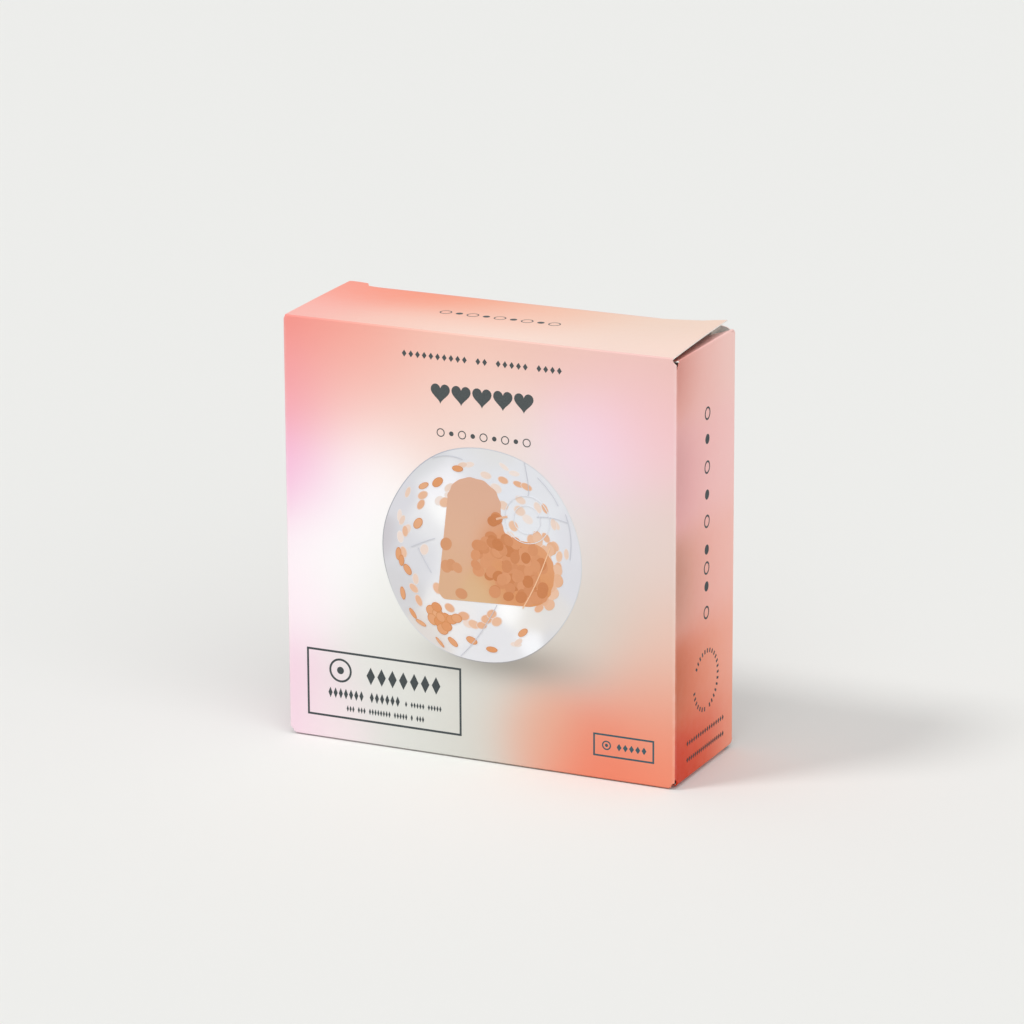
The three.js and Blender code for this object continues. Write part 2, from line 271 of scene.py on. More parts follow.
LID_GLOWS = [
    (-86, 22, 24, "ffa08e"), (-56, 22, 26, "ff987b"), (-20, 24, 26, "fba483"),
    (16, 24, 28, "f7c4a9"), (60, 20, 36, "f5d8c5"), (-86, -20, 30, "ffb9b0"),
    (-40, -24, 30, "ffd2c2"), (4, -24, 30, "ffe6d8"), (56, -24, 36, "fddfd2"),
    (0, 4, 24, "fec6b1"),
]
RIGHT_PRINT_AND_FOLD_SHADE = [
    # The first column, at -31 mm beside the front fold, is darker: the print's deeper coral, with
    # painted shade along the fold.
    (-31, 176, 10, "d08073"), (-20, 174, 14, "e89f93"), (0, 172, 18, "f8bfb6"), (28, 172, 18, "fdd0c8"),
    (-31, 130, 12, "d89a98"), (-18, 128, 16, "edabac"), (2, 128, 20, "fbc0bd"), (28, 126, 20, "ffcbc8"),
    (-31, 86, 12, "bc7f6b"), (-18, 84, 16, "dd9a86"), (2, 84, 20, "f7b1a4"), (28, 84, 20, "fec2b6"),
    (-31, 44, 12, "be6038"), (-18, 42, 16, "dc6f4a"), (2, 42, 18, "f09374"), (28, 42, 20, "fdb09a"),
    (-31, 6, 14, "cb2e02"), (-16, 6, 16, "dc3d0c"), (4, 8, 18, "e4562e"), (28, 8, 20, "ffa386"),
]
LEFT_GLOWS = [
    (-30, 170, 34, "f7a396"), (24, 172, 34, "f29186"), (-26, 110, 34, "f8c6cf"),
    (26, 112, 32, "f5b4d9"), (-24, 56, 34, "fbe6e6"), (26, 60, 30, "fde6f0"),
    (0, 8, 34, "f4cfe0"),
]
BACK_GLOWS = [
    (-86, 170, 40, "f6cfc8"), (-20, 176, 40, "f4b7a6"), (60, 176, 40, "f39a8c"),
    (-80, 110, 40, "f5c9d4"), (-10, 116, 40, "f7ead9"), (70, 110, 36, "f7bcd6"),
    (-60, 50, 40, "efc0a8"), (10, 60, 36, "eeeee9"), (80, 52, 36, "fdf2f5"),
    (-80, 6, 36, "ee8b6c"), (-20, 6, 34, "e3c4b2"), (40, 8, 36, "dfe0da"),
    (86, 8, 30, "f4d2e2"),
]
BASE_GLOWS = [
    (-80, 0, 44, "f4cfe0"), (-20, 0, 44, "dfdcd4"), (40, 0, 40, "eab49f"),
    (82, 0, 40, "ee8468"),
]
SHADE_CENTRE = (12, 44.5)  # the printed shadow under the ball on the front
SHADE_STRETCH = (0.30, 1.0)
SHADE_RADIUS = 9


def printed_shade(paint, place, colour):
    """The soft shadow that is printed under the picture of the ball."""
    moved = paint.vectors("SUBTRACT", place, (*SHADE_CENTRE, 0))
    squeezed = paint.vectors("MULTIPLY", moved, (*SHADE_STRETCH, 0))
    spot = paint.falloff(squeezed, (0, 0), SHADE_RADIUS)
    return paint.mix(paint.maths("MULTIPLY", spot, 0.75), colour, srgb("8e8880"))


def varnished(paint, colour):
    """Satin varnish over print: a soft gloss with the board's slight unevenness."""
    gloss = paint.grain(260, 0.36, 0.46)
    paint.shade({"Base Color": colour, "Roughness": gloss, "Specular IOR Level": 0.25})
    paint.shade({"Coat Weight": 0.05, "Coat Roughness": 0.3})
    paint.relief(paint.grain(900, 0.0, 1.0), 0.12)
    return paint.material


def printed_board(name, glows, shaded=False):
    paint = Paint(name)
    place = paint.attribute("artwork", "Vector")
    colour = paint.glow(place, glows)
    if shaded:
        colour = printed_shade(paint, place, colour)
    # Near the folds the colour turns toward a pale tint: board scuffed pale at its creases, with a
    # painted highlight along the rounded fold.
    pale_crease_share = paint.maths("MULTIPLY", paint.attribute("crease_wear_and_highlight", "Fac"), paint.grain(260, 0.04, 0.14))
    return varnished(paint, paint.mix(pale_crease_share, colour, srgb("fbefea")))


def raw_board(name, light, dark, scale):
    """Uncoated board, with the flecks of its fibres."""
    paint = Paint(name)
    fleck = paint.grain(scale, 0.0, 1.0, 5.0)
    colour = paint.mix(fleck, srgb(light), srgb(dark))
    paint.shade({"Base Color": colour, "Roughness": 0.85, "Specular IOR Level": 0.2})
    paint.relief(fleck, 0.3)
    return paint.material


def plain_ink(name, code, lighter):
    """Ink in one colour, a little thinner here and there."""
    paint = Paint(name)
    return varnished(paint, paint.mix(paint.grain(1400, 0.0, 0.5), srgb(code), srgb(lighter)))


def picture_ink(name, glows):
    """Ink whose colour is a gradient over the picture of the ball, in shares of its radius."""
    paint = Paint(name)
    return varnished(paint, paint.glow(paint.attribute("artwork", "Vector"), glows))


def flake_ink(name):
    """Ink that takes each flake's own tone from the mesh."""
    paint = Paint(name)
    return varnished(paint, paint.attribute("tone", "Color"))


BALL_GLOWS = [
    (0.0, 0.0, 0.30, "e9e9ec"), (-0.39, 0.35, 0.11, "fdfdfd"), (-0.52, 0.22, 0.14, "e6e6e9"),
    (-0.36, 0.62, 0.16, "f2f1f6"), (-0.10, 0.86, 0.14, "dfe0e5"), (0.31, -0.48, 0.10, "ffffff"),
    (0.48, -0.74, 0.09, "f5f6fa"), (0.46, -0.52, 0.13, "e4e1dd"), (0.74, -0.46, 0.14, "dfdcda"),
    (0.44, 0.36, 0.20, "e3e5ea"), (0.20, 0.64, 0.18, "e0e2e9"), (-0.70, -0.02, 0.18, "d9d9de"),
    (-0.98, 0.06, 0.12, "c9c5ca"), (-0.86, 0.50, 0.14, "d8d7dd"), (-0.55, 0.86, 0.16, "d4d5d8"),
    (0.05, 1.00, 0.18, "dedddd"), (0.60, 0.82, 0.18, "e0e1e6"), (0.98, 0.30, 0.16, "dddde3"),
    (1.00, -0.20, 0.16, "dadae0"), (0.78, -0.74, 0.13, "d8d8dc"), (0.12, -0.86, 0.20, "e3e3e7"),
    (-0.30, -0.60, 0.16, "eae8e8"), (-0.56, -0.84, 0.14, "dcd6d2"),
    (-0.84, -0.40, 0.14, "d2d1d4"),
]
RIM_GLOWS = [
    (-1.0, 0.1, 0.40, "a9a9ae"), (-0.6, 0.8, 0.40, "b4b7c2"), (0.2, 1.0, 0.40, "cfd0d6"),
    (0.9, 0.5, 0.50, "dcdde0"), (1.0, -0.3, 0.40, "cfd0d3"), (0.3, -1.0, 0.40, "a3a1a2"),
    (-0.8, -0.7, 0.40, "d6d6d8"),
]
HEART_GLOWS = [
    (-0.10, 0.58, 0.30, "d9ab92"), (-0.20, 0.25, 0.24, "dbaf93"),
    (-0.30, -0.05, 0.14, "d9ad8d"), (-0.36, -0.36, 0.16, "d8ad8b"),
    (-0.02, -0.38, 0.16, "d8b38a"), (0.16, 0.16, 0.16, "d99467"), (0.30, -0.16, 0.24, "d89565"),
    (0.62, 0.02, 0.20, "dc9c70"), (0.60, -0.30, 0.20, "d99560"),
]


def confetti(name):
    """Thin flakes with a soft metallic shine, each in its own tone."""
    paint = Paint(name)
    tone, gloss = paint.attribute("tone", "Color"), paint.grain(500, 0.28, 0.42)
    paint.shade({"Base Color": tone, "Roughness": gloss, "Metallic": 0.35})
    paint.relief(paint.grain(700, 0.0, 1.0), 0.15)
    return paint.material


def film(name, light, tint, clearness, roughness=0.1):
    """Soft vinyl film: clear face on, more solid at a glancing angle."""
    paint = Paint(name)
    colour = paint.mix(paint.grain(60, 0.0, 1.0), srgb(light), srgb(tint))
    edge = paint.node("LayerWeight", {"Blend": 0.4}, "Facing")
    ends = {"To Min": 1 - clearness, "To Max": min(1.0, 1.5 - clearness)}
    solid = paint.node("MapRange", {"Value": edge, **ends}, "Result")
    paint.shade({"Base Color": colour, "Alpha": solid, "Roughness": roughness})
    paint.relief(paint.grain(240, 0.0, 1.0), 0.25)
    return paint.material


skins = {
    "front": printed_board("front_print", FRONT_GLOWS, True),
    "right": printed_board("right_print_and_fold_shade", RIGHT_PRINT_AND_FOLD_SHADE),
    "left": printed_board("left_print", LEFT_GLOWS),
    "back": printed_board("back_print", BACK_GLOWS),
    "lid": printed_board("lid_print", LID_GLOWS),
    "base": printed_board("base_print", BASE_GLOWS),
    "inside": raw_board("uncoated_board", "f3f0ea", "e6e1d8", 900),
    "cut": raw_board("cut_board", "fefcf8", "efe9df", 2400),
    "dark_ink": plain_ink("charcoal_ink", "474c4d", "5a6061"),
    "frame_ink": plain_ink("frame_ink", "3d4345", "50585a"),
    "teal_ink": plain_ink("teal_ink", "35555e", "48666e"),
    "side_ink": plain_ink("side_ink", "16292e", "24383d"),
    "ball": picture_ink("ball_picture_film", BALL_GLOWS),
    "rim": picture_ink("ball_picture_rim", RIM_GLOWS),
    "heart": picture_ink("ball_picture_heart", HEART_GLOWS),
    "flakes": flake_ink("ball_picture_flakes"),
    "clear": film("clear_vinyl", "fbfafa", "f1eff2", 0.72),
    "peach": film("peach_vinyl", "f5b296", "ee9a78", 0.35),
    "confetti": confetti("confetti_foil"),
    "moulded": film("moulded_vinyl", "f2f3f4", "e4e7ea", 0.45, 0.2),
    "patch": film("patch_vinyl", "f4f5f4", "e6ebec", 0.40, 0.15),
}


# --- mesh helpers
def finish_mesh(name, bm, materials):
    """An object of the mesh, its faces all turned outwards."""
    bmesh.ops.recalc_face_normals(bm, faces=bm.faces)
    mesh = bpy.data.meshes.new(name)
    bm.to_mesh(mesh)
    bm.free()
    for material in materials:
        mesh.materials.append(material)
    piece = bpy.data.objects.new(name, mesh)
    bpy.context.collection.objects.link(piece)
    return piece


def settle(piece, body, node=None):
    """Puts a piece on the body that it rides on, and hides the CAD node that it stands for."""
    if body:
        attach(piece, body)
    if node:
        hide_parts(node)


def bridge(bm, first, second, smooth_faces=True):
    """Joins two rings of corners, or a ring and a single point, with a band of faces."""
    count = max(len(first), len(second))
    for i in range(count):
        j = (i + 1) % count
        corners = [first[i % len(first)], first[j % len(first)],
                   second[j % len(second)], second[i % len(second)]]
        face = bm.faces.new(list(dict.fromkeys(corners)))
        face.smooth = smooth_faces


def even(count):
    return [i / count for i in range(count + 1)]


def spaced(start, end, count):
    return [start + (end - start) * t for t in even(count)]


def smooth(t):
    t = min(1.0, max(0.0, t))
    return t * t * (3 - 2 * t)


def ramp(value, start, end):
    """Rises smoothly from 0 at start to 1 at end."""
    return smooth((value - start) / (end - start))


def graded(low, high, fine, count, steps=6):
    """Values from low to high that lie close together within fine of each end."""
    near = [fine * i / steps for i in range(steps)]
    middle = spaced(low + fine, high - fine, count)
    return [low + d for d in near] + middle + [high - d for d in reversed(near)]


def board(name, across, span, steps, place, artwork, skin, crease_wear_and_highlight=None, edge="cut"):
    """A sheet of board: printed on its outer skin, raw inside, with a cut edge."""
    materials = [skins[skin], skins["inside"], skins[edge]]
    return sheet(name, across, span, steps, place, artwork, materials, BOARD, crease_wear_and_highlight)


def sheet(name, across, span, steps, place, artwork, materials, thickness, crease_wear_and_highlight=None):
    """A closed sheet. At each value of across, span gives where it starts and ends, and place
    turns (along, across) into a point of its outer skin and the way that skin faces. Its three
    materials are for the outer skin, the inner skin and the edge."""
    bm = bmesh.new()
    art_layer = bm.verts.layers.float_vector.new("artwork")
    pale_crease_layer = bm.verts.layers.float.new("crease_wear_and_highlight")
    outer, inner = [], []
    for v in across:
        low, high = span(v)
        for row, depth in ((outer, 0.0), (inner, thickness)):
            line = []
            for t in steps:
                u = low + (high - low) * t
                point, facing = place(u, v)
                vert = bm.verts.new(point - facing * depth)
                vert[art_layer] = (*artwork(u, v), 0)
                vert[pale_crease_layer] = crease_wear_and_highlight(u, v) if crease_wear_and_highlight else 0.0
                line.append(vert)
            row.append(line)
    rows, columns = len(outer) - 1, len(steps) - 1
    for r in range(rows):
        for c in range(columns):
            for slot, grid in ((0, outer), (1, inner)):
                corners = [grid[r][c], grid[r][c + 1], grid[r + 1][c + 1], grid[r + 1][c]]
                face = bm.faces.new(corners if slot == 0 else corners[::-1])
                face.material_index = slot
                face.smooth = True
    ring = [(r, 0) for r in range(rows + 1)] + [(rows, c) for c in range(1, columns + 1)]
    ring += [(r, columns) for r in range(rows - 1, -1, -1)]
    ring += [(0, c) for c in range(columns - 1, 0, -1)]
    for (r0, c0), (r1, c1) in zip(ring, ring[1:] + ring[:1]):
        face = bm.faces.new([outer[r0][c0], outer[r1][c1], inner[r1][c1], inner[r0][c0]])
        face.material_index = 2
        for edge in face.edges:
            edge.smooth = False
    return finish_mesh(name, bm, materials)


# --- walls of the sleeve
Wall = namedtuple("Wall", "along outward low high reach")
FRONT = Wall(X, -Y, -HALF_WIDTH, HALF_WIDTH, HALF_DEPTH)
RIGHT = Wall(Y, X, -HALF_DEPTH, HALF_DEPTH, HALF_WIDTH)
BACK = Wall(-X, Y, -HALF_WIDTH, HALF_WIDTH, HALF_DEPTH)
LEFT = Wall(-Y, -X, -(HALF_DEPTH - BOARD), HALF_DEPTH, HALF_WIDTH)
GLUE = Wall(X, Y, -HALF_WIDTH, HALF_WIDTH, HALF_DEPTH - BOARD)
HALF_ARC = FOLD * pi / 4


def on_wall(wall, u, z):
    """A point of a wall's outer skin and the way it faces. Past the flat part, half of a fold."""
    low, high = wall.low + FOLD, wall.high - FOLD
    flat = min(max(u, low), high)
    angle = min(abs(u - flat) / FOLD, pi / 4)
    turn = 1 if u > flat else -1
    facing = wall.along * turn * sin(angle) + wall.outward * cos(angle)
    centre = wall.along * flat + wall.outward * (wall.reach - FOLD) + Z * z
    return centre + facing * FOLD, facing


def wall_ends(wall):
    return wall.low + FOLD - HALF_ARC, wall.high - FOLD + HALF_ARC


def notch(apart, radius):
    """How far a round notch, centred on a corner, cuts in at that distance from the end."""
    return sqrt(max(0.0, radius**2 - apart**2))


def rounding(apart, radius):
    """How far a rounded corner cuts in at that distance from the end."""
    return radius - sqrt(max(0.0, radius**2 - max(0.0, radius - apart) ** 2))


def wall_steps(length):
    """Shares of a wall's length, closer together in its folds and where their pale tint, of scuffed
    board and a painted highlight, fades.
    """
    arc, fading = HALF_ARC / length, 0.45 * MM / length
    near = [arc * i / 4 for i in range(4)] + [arc + fading * i for i in range(3)]
    flat = spaced(near[-1], 1 - near[-1], 16)
    return near[:-1] + flat + [1 - t for t in reversed(near[:-1])]


def millimetres(u, v):
    return u / MM, v / MM


def corner_drop(y):
    """How far a side panel's crease drops at its rounded back corner."""
    return rounding(max(0.2 * MM, HALF_DEPTH - y), BACK_ROUND)


def on_side_wall(wall, u, z):
    """A point of a side wall, whose upper and lower edges round off towards the back."""
    top = ramp(z, SIDE_TOP - ROUND_REACH, SIDE_TOP)
    bottom = ramp(-z, -SIDE_FOOT - ROUND_REACH, -SIDE_FOOT)
    return on_wall(wall, u, z - corner_drop(u * wall.along.y) * (top - bottom))


def wall_board(name, wall, low, high, start, end, skin, on_skin):
    """A wall between two heights. start and end give how much each end is cut back by,
    at distances from the wall's bottom and top edges."""
    first, last = wall_ends(wall)

    def span(z):
        return first + start(z - low, high - z), last - end(z - low, high - z)

    # Paleness at the wall's folds: scuffed board, and a painted highlight along the rounded fold.
    def crease_wear_and_highlight(u, z):
        return 1 - ramp(min(u - first, last - u), 0.5 * MM, 1.5 * MM)

    return sheet(
        name, graded(low, high, 3 * MM, 20), span, wall_steps(last - first),
        lambda u, z: on_skin(wall, u, z), millimetres,
        [skins[skin], skins["inside"], skins[skin]], BOARD, crease_wear_and_highlight,
    )


def uncut(foot, head):
    return 0.0


def notched(foot_radius, head_radius):
    return lambda foot, head: notch(foot, foot_radius) + notch(head, head_radius)


def make_walls():
    side_ends = SIDE_FOOT + FOLD, SIDE_TOP - FOLD
    side_notch = notched(SIDE_NOTCH, SIDE_NOTCH)
    front_left, front_right = notched(FRONT_NOTCH, TOP_LEFT_NOTCH), notched(FRONT_NOTCH, FRONT_NOTCH)

    def back_corner(foot, head):
        return rounding(foot, BACK_ROUND) + rounding(head, BACK_TOP_ROUND)

    def seam(foot, head):
        return HALF_ARC + SEAM_GAP + back_corner(foot, head)

    walls = [  # name, wall, bottom and top, how each end is cut back, print, how it is shaped
        ("front", FRONT, (FOLD, HEIGHT - FOLD), front_left, front_right, "front", on_wall),
        ("right_side", RIGHT, side_ends, side_notch, uncut, "right", on_side_wall),
        ("left_side", LEFT, side_ends, uncut, side_notch, "left", on_side_wall),
        ("back", BACK, (back_low.z, back_high.z), back_corner, seam, "back", on_wall),
    ]
    for name, wall, ends, start, end, skin, on_skin in walls:
        piece = wall_board(name + "_board", wall, *ends, start, end, skin, on_skin)
        settle(piece, "carton", name + "_panel")
    make_glue_flap()


def make_glue_flap():
    """The flap folds on from the left side panel and is glued inside the back panel."""
    start = GLUE.low + FOLD - HALF_ARC
    free = glue_high.x
    middle = HEIGHT / 2
    half = middle - glue_low.z

    def span(x):
        share = max(0.0, (x - glue_low.x) / (free - glue_low.x))
        return middle - half + GLUE_TAPER * share, middle + half - GLUE_TAPER * share

    across = spaced(start, start + HALF_ARC, 4)[:-1] + spaced(start + HALF_ARC, free, 8)
    flap = board(
        "glued_seam_flap", across, span, even(30),
        lambda z, x: on_wall(GLUE, x, z), lambda z, x: (-x / MM, z / MM), "left",
    )
    settle(flap, "carton", "glue_flap")


# --- end closures
def flipped(place):
    """The same board at the bottom of the carton."""

    def flip(u, v):
        point, facing = place(u, v)
        mirror = Vector((1, 1, -1))
        return point * mirror + Z * HEIGHT, facing * mirror

    return flip


LID_START = -HALF_DEPTH + FOLD
LID_CREASE = TUCK_Y - TUCK_FOLD  # where the lid starts to bend into the tuck flap
LID_BACK = HALF_DEPTH - FOLD
LID_LEFT = -HALF_WIDTH + LID_LEFT_INSET
LID_RIGHT = HALF_WIDTH - LID_RIGHT_INSET
SLIT = TUCK_HALF


def lid_lift(x, y):
    """How far the sprung board of the lid stands above its flat place."""
    back = sin(pi / 2 * (y - LID_START) / (LID_BACK - LID_START))
    corner = LID_CORNER_LIFT * ramp(x, 50 * MM, 87 * MM) * back
    left = LID_LEFT_LIFT * ramp(-x, 66 * MM, 86 * MM) * back
    return corner + left


def lid_skin(lifted):
    def place(y, x):
        narrow = LID_BACK_TAPER * ramp(x, 60 * MM, 86 * MM) * (y - LID_START)
        moved = x - narrow / (2 * HALF_DEPTH)
        lift = lid_lift(x, y) if lifted else 0.0
        return Vector((moved, y, HEIGHT + lift)), Z.copy()

    return place


def lid_span(x):
    slope = SLIT_SLOPE_RIGHT if x > 0 else SLIT_SLOPE
    out = (abs(x) - (SLIT - SLIT_SLOPE)) / slope
    if out <= 0:
        return LID_START, LID_CREASE
    back = LID_CREASE + (LID_BACK - LID_CREASE) * min(1.0, out)
    return LID_START, back - rounding(HALF_WIDTH - abs(x), 2.0 * MM)


def lid_columns(left, right):
    inside = SLIT - SLIT_SLOPE
    slit = spaced(inside, SLIT, 4)
    ends = spaced(left, left + 7 * MM, 6)[:-1] + spaced(right - 7 * MM, right, 6)[1:]
    return sorted(ends + spaced(-inside, inside, 24)[1:-1] + slit + [-x for x in slit])


def arc(centre, start, end, radius):
    """A fold of a quarter turn, along the line through centre. start and end are its directions."""

    def place(angle, x):
        facing = start * cos(angle) + end * sin(angle)
        return centre(x) + facing * radius, facing

    return place


def crease(name, across, place, artwork, skin, start, end, flip, crease_wear_and_highlight, sweep=pi / 2):
    """The strip of board in a crease."""
    # The strip's pale tint is scuffed board and a painted highlight along the fold.
    piece = board(
        name, across, lambda x: (0.0, sweep), even(6), place, artwork, skin, lambda u, v: crease_wear_and_highlight,
        skin if flip else "cut",
    )
    turned = [Vector((p.x, p.y, HEIGHT - p.z)) if flip else p for p in (start, end)]
    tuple(turned[0])
    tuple(turned[1])
    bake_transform(piece)


def make_closure(end, lid_node, skin, flip):
    turn = flipped if flip else (lambda place: place)
    lid_body, tuck_body = end + "_lid", end + "_tuck"
    left = -HALF_WIDTH + BASE_INSET if flip else LID_LEFT
    right = HALF_WIDTH - BASE_INSET if flip else LID_RIGHT
    lid = board(
        lid_node + "_board", lid_columns(left, right), lid_span, even(24), turn(lid_skin(not flip)),
        lambda y, x: (x / MM, y / MM), skin, edge=skin if flip else "cut",
    )
    settle(lid, lid_body, lid_node)

    def on_fold(a, x):
        rise = FOLD * (1 - a) if flip else HEIGHT - FOLD * (1 - a)
        return x / MM, rise / MM

    fold_centre = Vector((0, -HALF_DEPTH + FOLD, HEIGHT - FOLD))
    crease(
        end + "_lid_crease", spaced(left, right, 40),
        turn(arc(lambda x: fold_centre + X * x, -Y, Z, FOLD)),
        on_fold, "front",
        fold_centre - Y * FOLD, fold_centre + Z * FOLD, flip, 0.0,
    )

    tuck_centre = Vector((0, TUCK_Y - TUCK_FOLD, HEIGHT - TUCK_FOLD))
    fold_reach = SLIT - SLIT_SLOPE
    crease(
        end + "_tuck_crease", spaced(-fold_reach, fold_reach, 40),
        turn(arc(lambda x: tuck_centre + X * x, Z, Y, TUCK_FOLD)),
        lambda a, x: (x / MM, (LID_CREASE + TUCK_FOLD * a) / MM),
        skin, tuck_centre + Z * TUCK_FOLD, tuck_centre + Y * TUCK_FOLD,
        flip, 0.5,
    )
    make_tuck_flap(end, skin, turn, tuck_body)
    for name, side in (("right", 1), ("left", -1)):
        make_dust_flap(end, name, side, turn, flip)


def make_tuck_flap(end, skin, turn, body):
    top = HEIGHT - TUCK_FOLD
    flat_end = LID_CREASE + TUCK_FOLD * pi / 2

    def place(z, x):
        return Vector((x, TUCK_Y, z)), Y.copy()

    def span(x):
        foot = TUCK_FOOT + rounding(TUCK_HALF - abs(x), TUCK_CORNER)
        ear = rounding(TUCK_HALF - abs(x), SLIT_SLOPE)
        return foot, top - ear

    columns = graded(-TUCK_HALF, TUCK_HALF, TUCK_CORNER, 16, 10)
    flap = board(
        end + "_tuck_board", columns, span, even(8), turn(place),
        lambda z, x: (x / MM, (flat_end + top - z) / MM), skin,
    )
    settle(flap, body, end + "_tuck_flap")


def make_dust_flap(end, name, side, turn, flip):
    fold_x = HALF_WIDTH - FOLD
    body = f"{end}_{name}_dust"
    out = X * side
    top = HEIGHT - SIDE_FOOT if flip else SIDE_TOP

    def artwork(y, z):
        return side * y / MM, (HEIGHT - z if flip else z) / MM

    droop = 0.0 if flip else DUST_DROOP
    facing = Z * cos(droop) - out * sin(droop)
    inward = facing.cross(Y) * side
    fold_line = out * fold_x + Z * (top - FOLD) + facing * FOLD

    def place(y, x):
        return fold_line + Y * y + inward * (fold_x - x), facing

    def span(x):
        slope = (fold_x - x) * tan(DUST_TAPER)
        neck = 1 * MM * ramp(x, fold_x - 6 * MM, fold_x)
        return DUST_FRONT - neck + slope, DUST_BACK - rounding(x - DUST_FREE, DUST_CORNER)

    corner_end = DUST_FREE + DUST_CORNER
    columns = [corner_end - DUST_CORNER * cos(pi / 2 * t) for t in even(8)]
    columns += spaced(corner_end, fold_x, 12)[1:]
    flap = board(
        f"{end}_{name}_dust_board", columns, span, even(16), turn(place),
        lambda y, x: artwork(y, top + fold_x - x), name, edge=name if flip else "cut",
    )
    settle(flap, body, f"{end}_{name}_dust_flap")

    centre = Vector((side * fold_x, 0, top - FOLD))
    front = -HALF_DEPTH + FOLD - HALF_ARC + SIDE_NOTCH
    back = HALF_DEPTH - BACK_ROUND
    rows = spaced(front, back, 16)
    rows += [back + BACK_ROUND * sin(radians(70) * t) for t in even(6)[1:]]
    crease(
        f"{end}_{name}_dust_crease", rows,
        turn(arc(lambda y: centre + Y * y - Z * corner_drop(y), out, Z, FOLD)),
        lambda a, y: artwork(y, top - FOLD + FOLD * a), name,
        centre + out * FOLD, centre + Z * FOLD, flip, 0.0 if flip else 0.5, pi / 2 + droop,
    )


# --- ink on the board
INK_LIFT = 0.03 * MM
INK_STEP = 0.0006 * MM  # marks that may overlap lie this much higher, one over the other
INK_ROOT = 0.05 * MM  # ink reaches this far into the board


def on_lid(u, v):
    return Vector((u, v, HEIGHT)), Z.copy()


def on(wall):
    return lambda u, v: on_wall(wall, u, v)


def circle(u, v, radius, count=24):
    turns = [2 * pi * i / count for i in range(count)]
    return [(u + radius * cos(t), v + radius * sin(t)) for t in turns]


def rounded(corners, steps=8):
    """A closed outline from its corners, each (across, up, radius of its round)."""
    points = []
    for i, (x, y, radius) in enumerate(corners):
        here = Vector((x, y))
        before = Vector(corners[i - 1][:2]) - here
        after = Vector(corners[(i + 1) % len(corners)][:2]) - here
        half = before.angle(after) / 2
        middle = (before.normalized() + after.normalized()).normalized()
        centre = here + middle * (radius / sin(half))
        reach = radius / tan(half)
        start = here + before.normalized() * reach - centre
        sweep = start.angle_signed(here + after.normalized() * reach - centre)
        for k in range(steps + 1):
            turn = -sweep * k / steps
            spun = Matrix.Rotation(turn, 2) @ start
            points.append(tuple(centre + spun))
    return points


def box_outline(left, low, right, high):
    return [(left, low), (right, low), (right, high), (left, high)]


def diamond(u, v, width, height):
    return [(u - width / 2, v), (u, v - height / 2), (u + width / 2, v), (u, v + height / 2)]


def heart_mark(u, v, size):
    """A small solid heart: two lobes and a point."""
    points = []
    for i in range(36):
        t = 2 * pi * i / 36
        x = 16 * sin(t) ** 3
        y = 13 * cos(t) - 5 * cos(2 * t) - 2 * cos(3 * t) - cos(4 * t)
        points.append((u + size * x / 32, v + size * (y + 2.5) / 30))
    return points


def ink(name, outlines, place, skin, lift=INK_LIFT, tones=None, artwork=None):
    """Closed films of ink. An outline is its points in millimetres, or (outside, hole)."""
    bm = bmesh.new()
    tone_layer = bm.verts.layers.float_color.new("tone") if tones else None
    art_layer = bm.verts.layers.float_vector.new("artwork") if artwork else None
    for index, outline in enumerate(outlines):
        loops = [outline] if not isinstance(outline[0][0], tuple) else list(outline)
        tops, roots = [], []
        for loop in loops:
            for u, v in loop:
                point, facing = place(u * MM, v * MM)
                for row, height in ((tops, lift + index * INK_STEP), (roots, -INK_ROOT)):
                    vert = bm.verts.new(point + facing * height)
                    if tones:
                        vert[tone_layer] = (*tones[index], 1)
                    if artwork:
                        vert[art_layer] = (*artwork(u, v), 0)
                    row.append(vert)
        flat = [[Vector((u, v, 0)) for u, v in loop] for loop in loops]
        for a, b, c in tessellate_polygon(flat):
            bm.faces.new([tops[a], tops[b], tops[c]])
            bm.faces.new([roots[c], roots[b], roots[a]])
        start = 0
        for loop in loops:
            count = len(loop)
            for i in range(count):
                a, b = start + i, start + (i + 1) % count
                bm.faces.new([tops[a], roots[a], roots[b], tops[b]])
            start += count
    piece = finish_mesh(name, bm, [skins[skin]])
    settle(piece, "carton")
    return piece


def ring_mark(u, v, radius, line, count=24):
    return circle(u, v, radius, count), circle(u, v, radius - line, count)


def bead_row(start, end, v, size, words):
    """Small diamonds in groups, from start to end. words holds how many are in each group."""
    places = sum(words) + len(words) - 1
    pitch = (end - start) / places
    width = min(size * 0.72, pitch * 0.78)
    marks, at = [], start + pitch / 2
    for count in words:
        marks += [diamond(at + pitch * i, v, width, size) for i in range(count)]
        at += pitch * (count + 1)
    return marks


def ring_and_dot_row(places, radius, line, dot=0.55, count=24):
    """Thin rings and dots by turns."""
    return [
        circle(u, v, radius * dot) if i % 2 else ring_mark(u, v, radius, line, count)
        for i, (u, v) in enumerate(places)
    ]


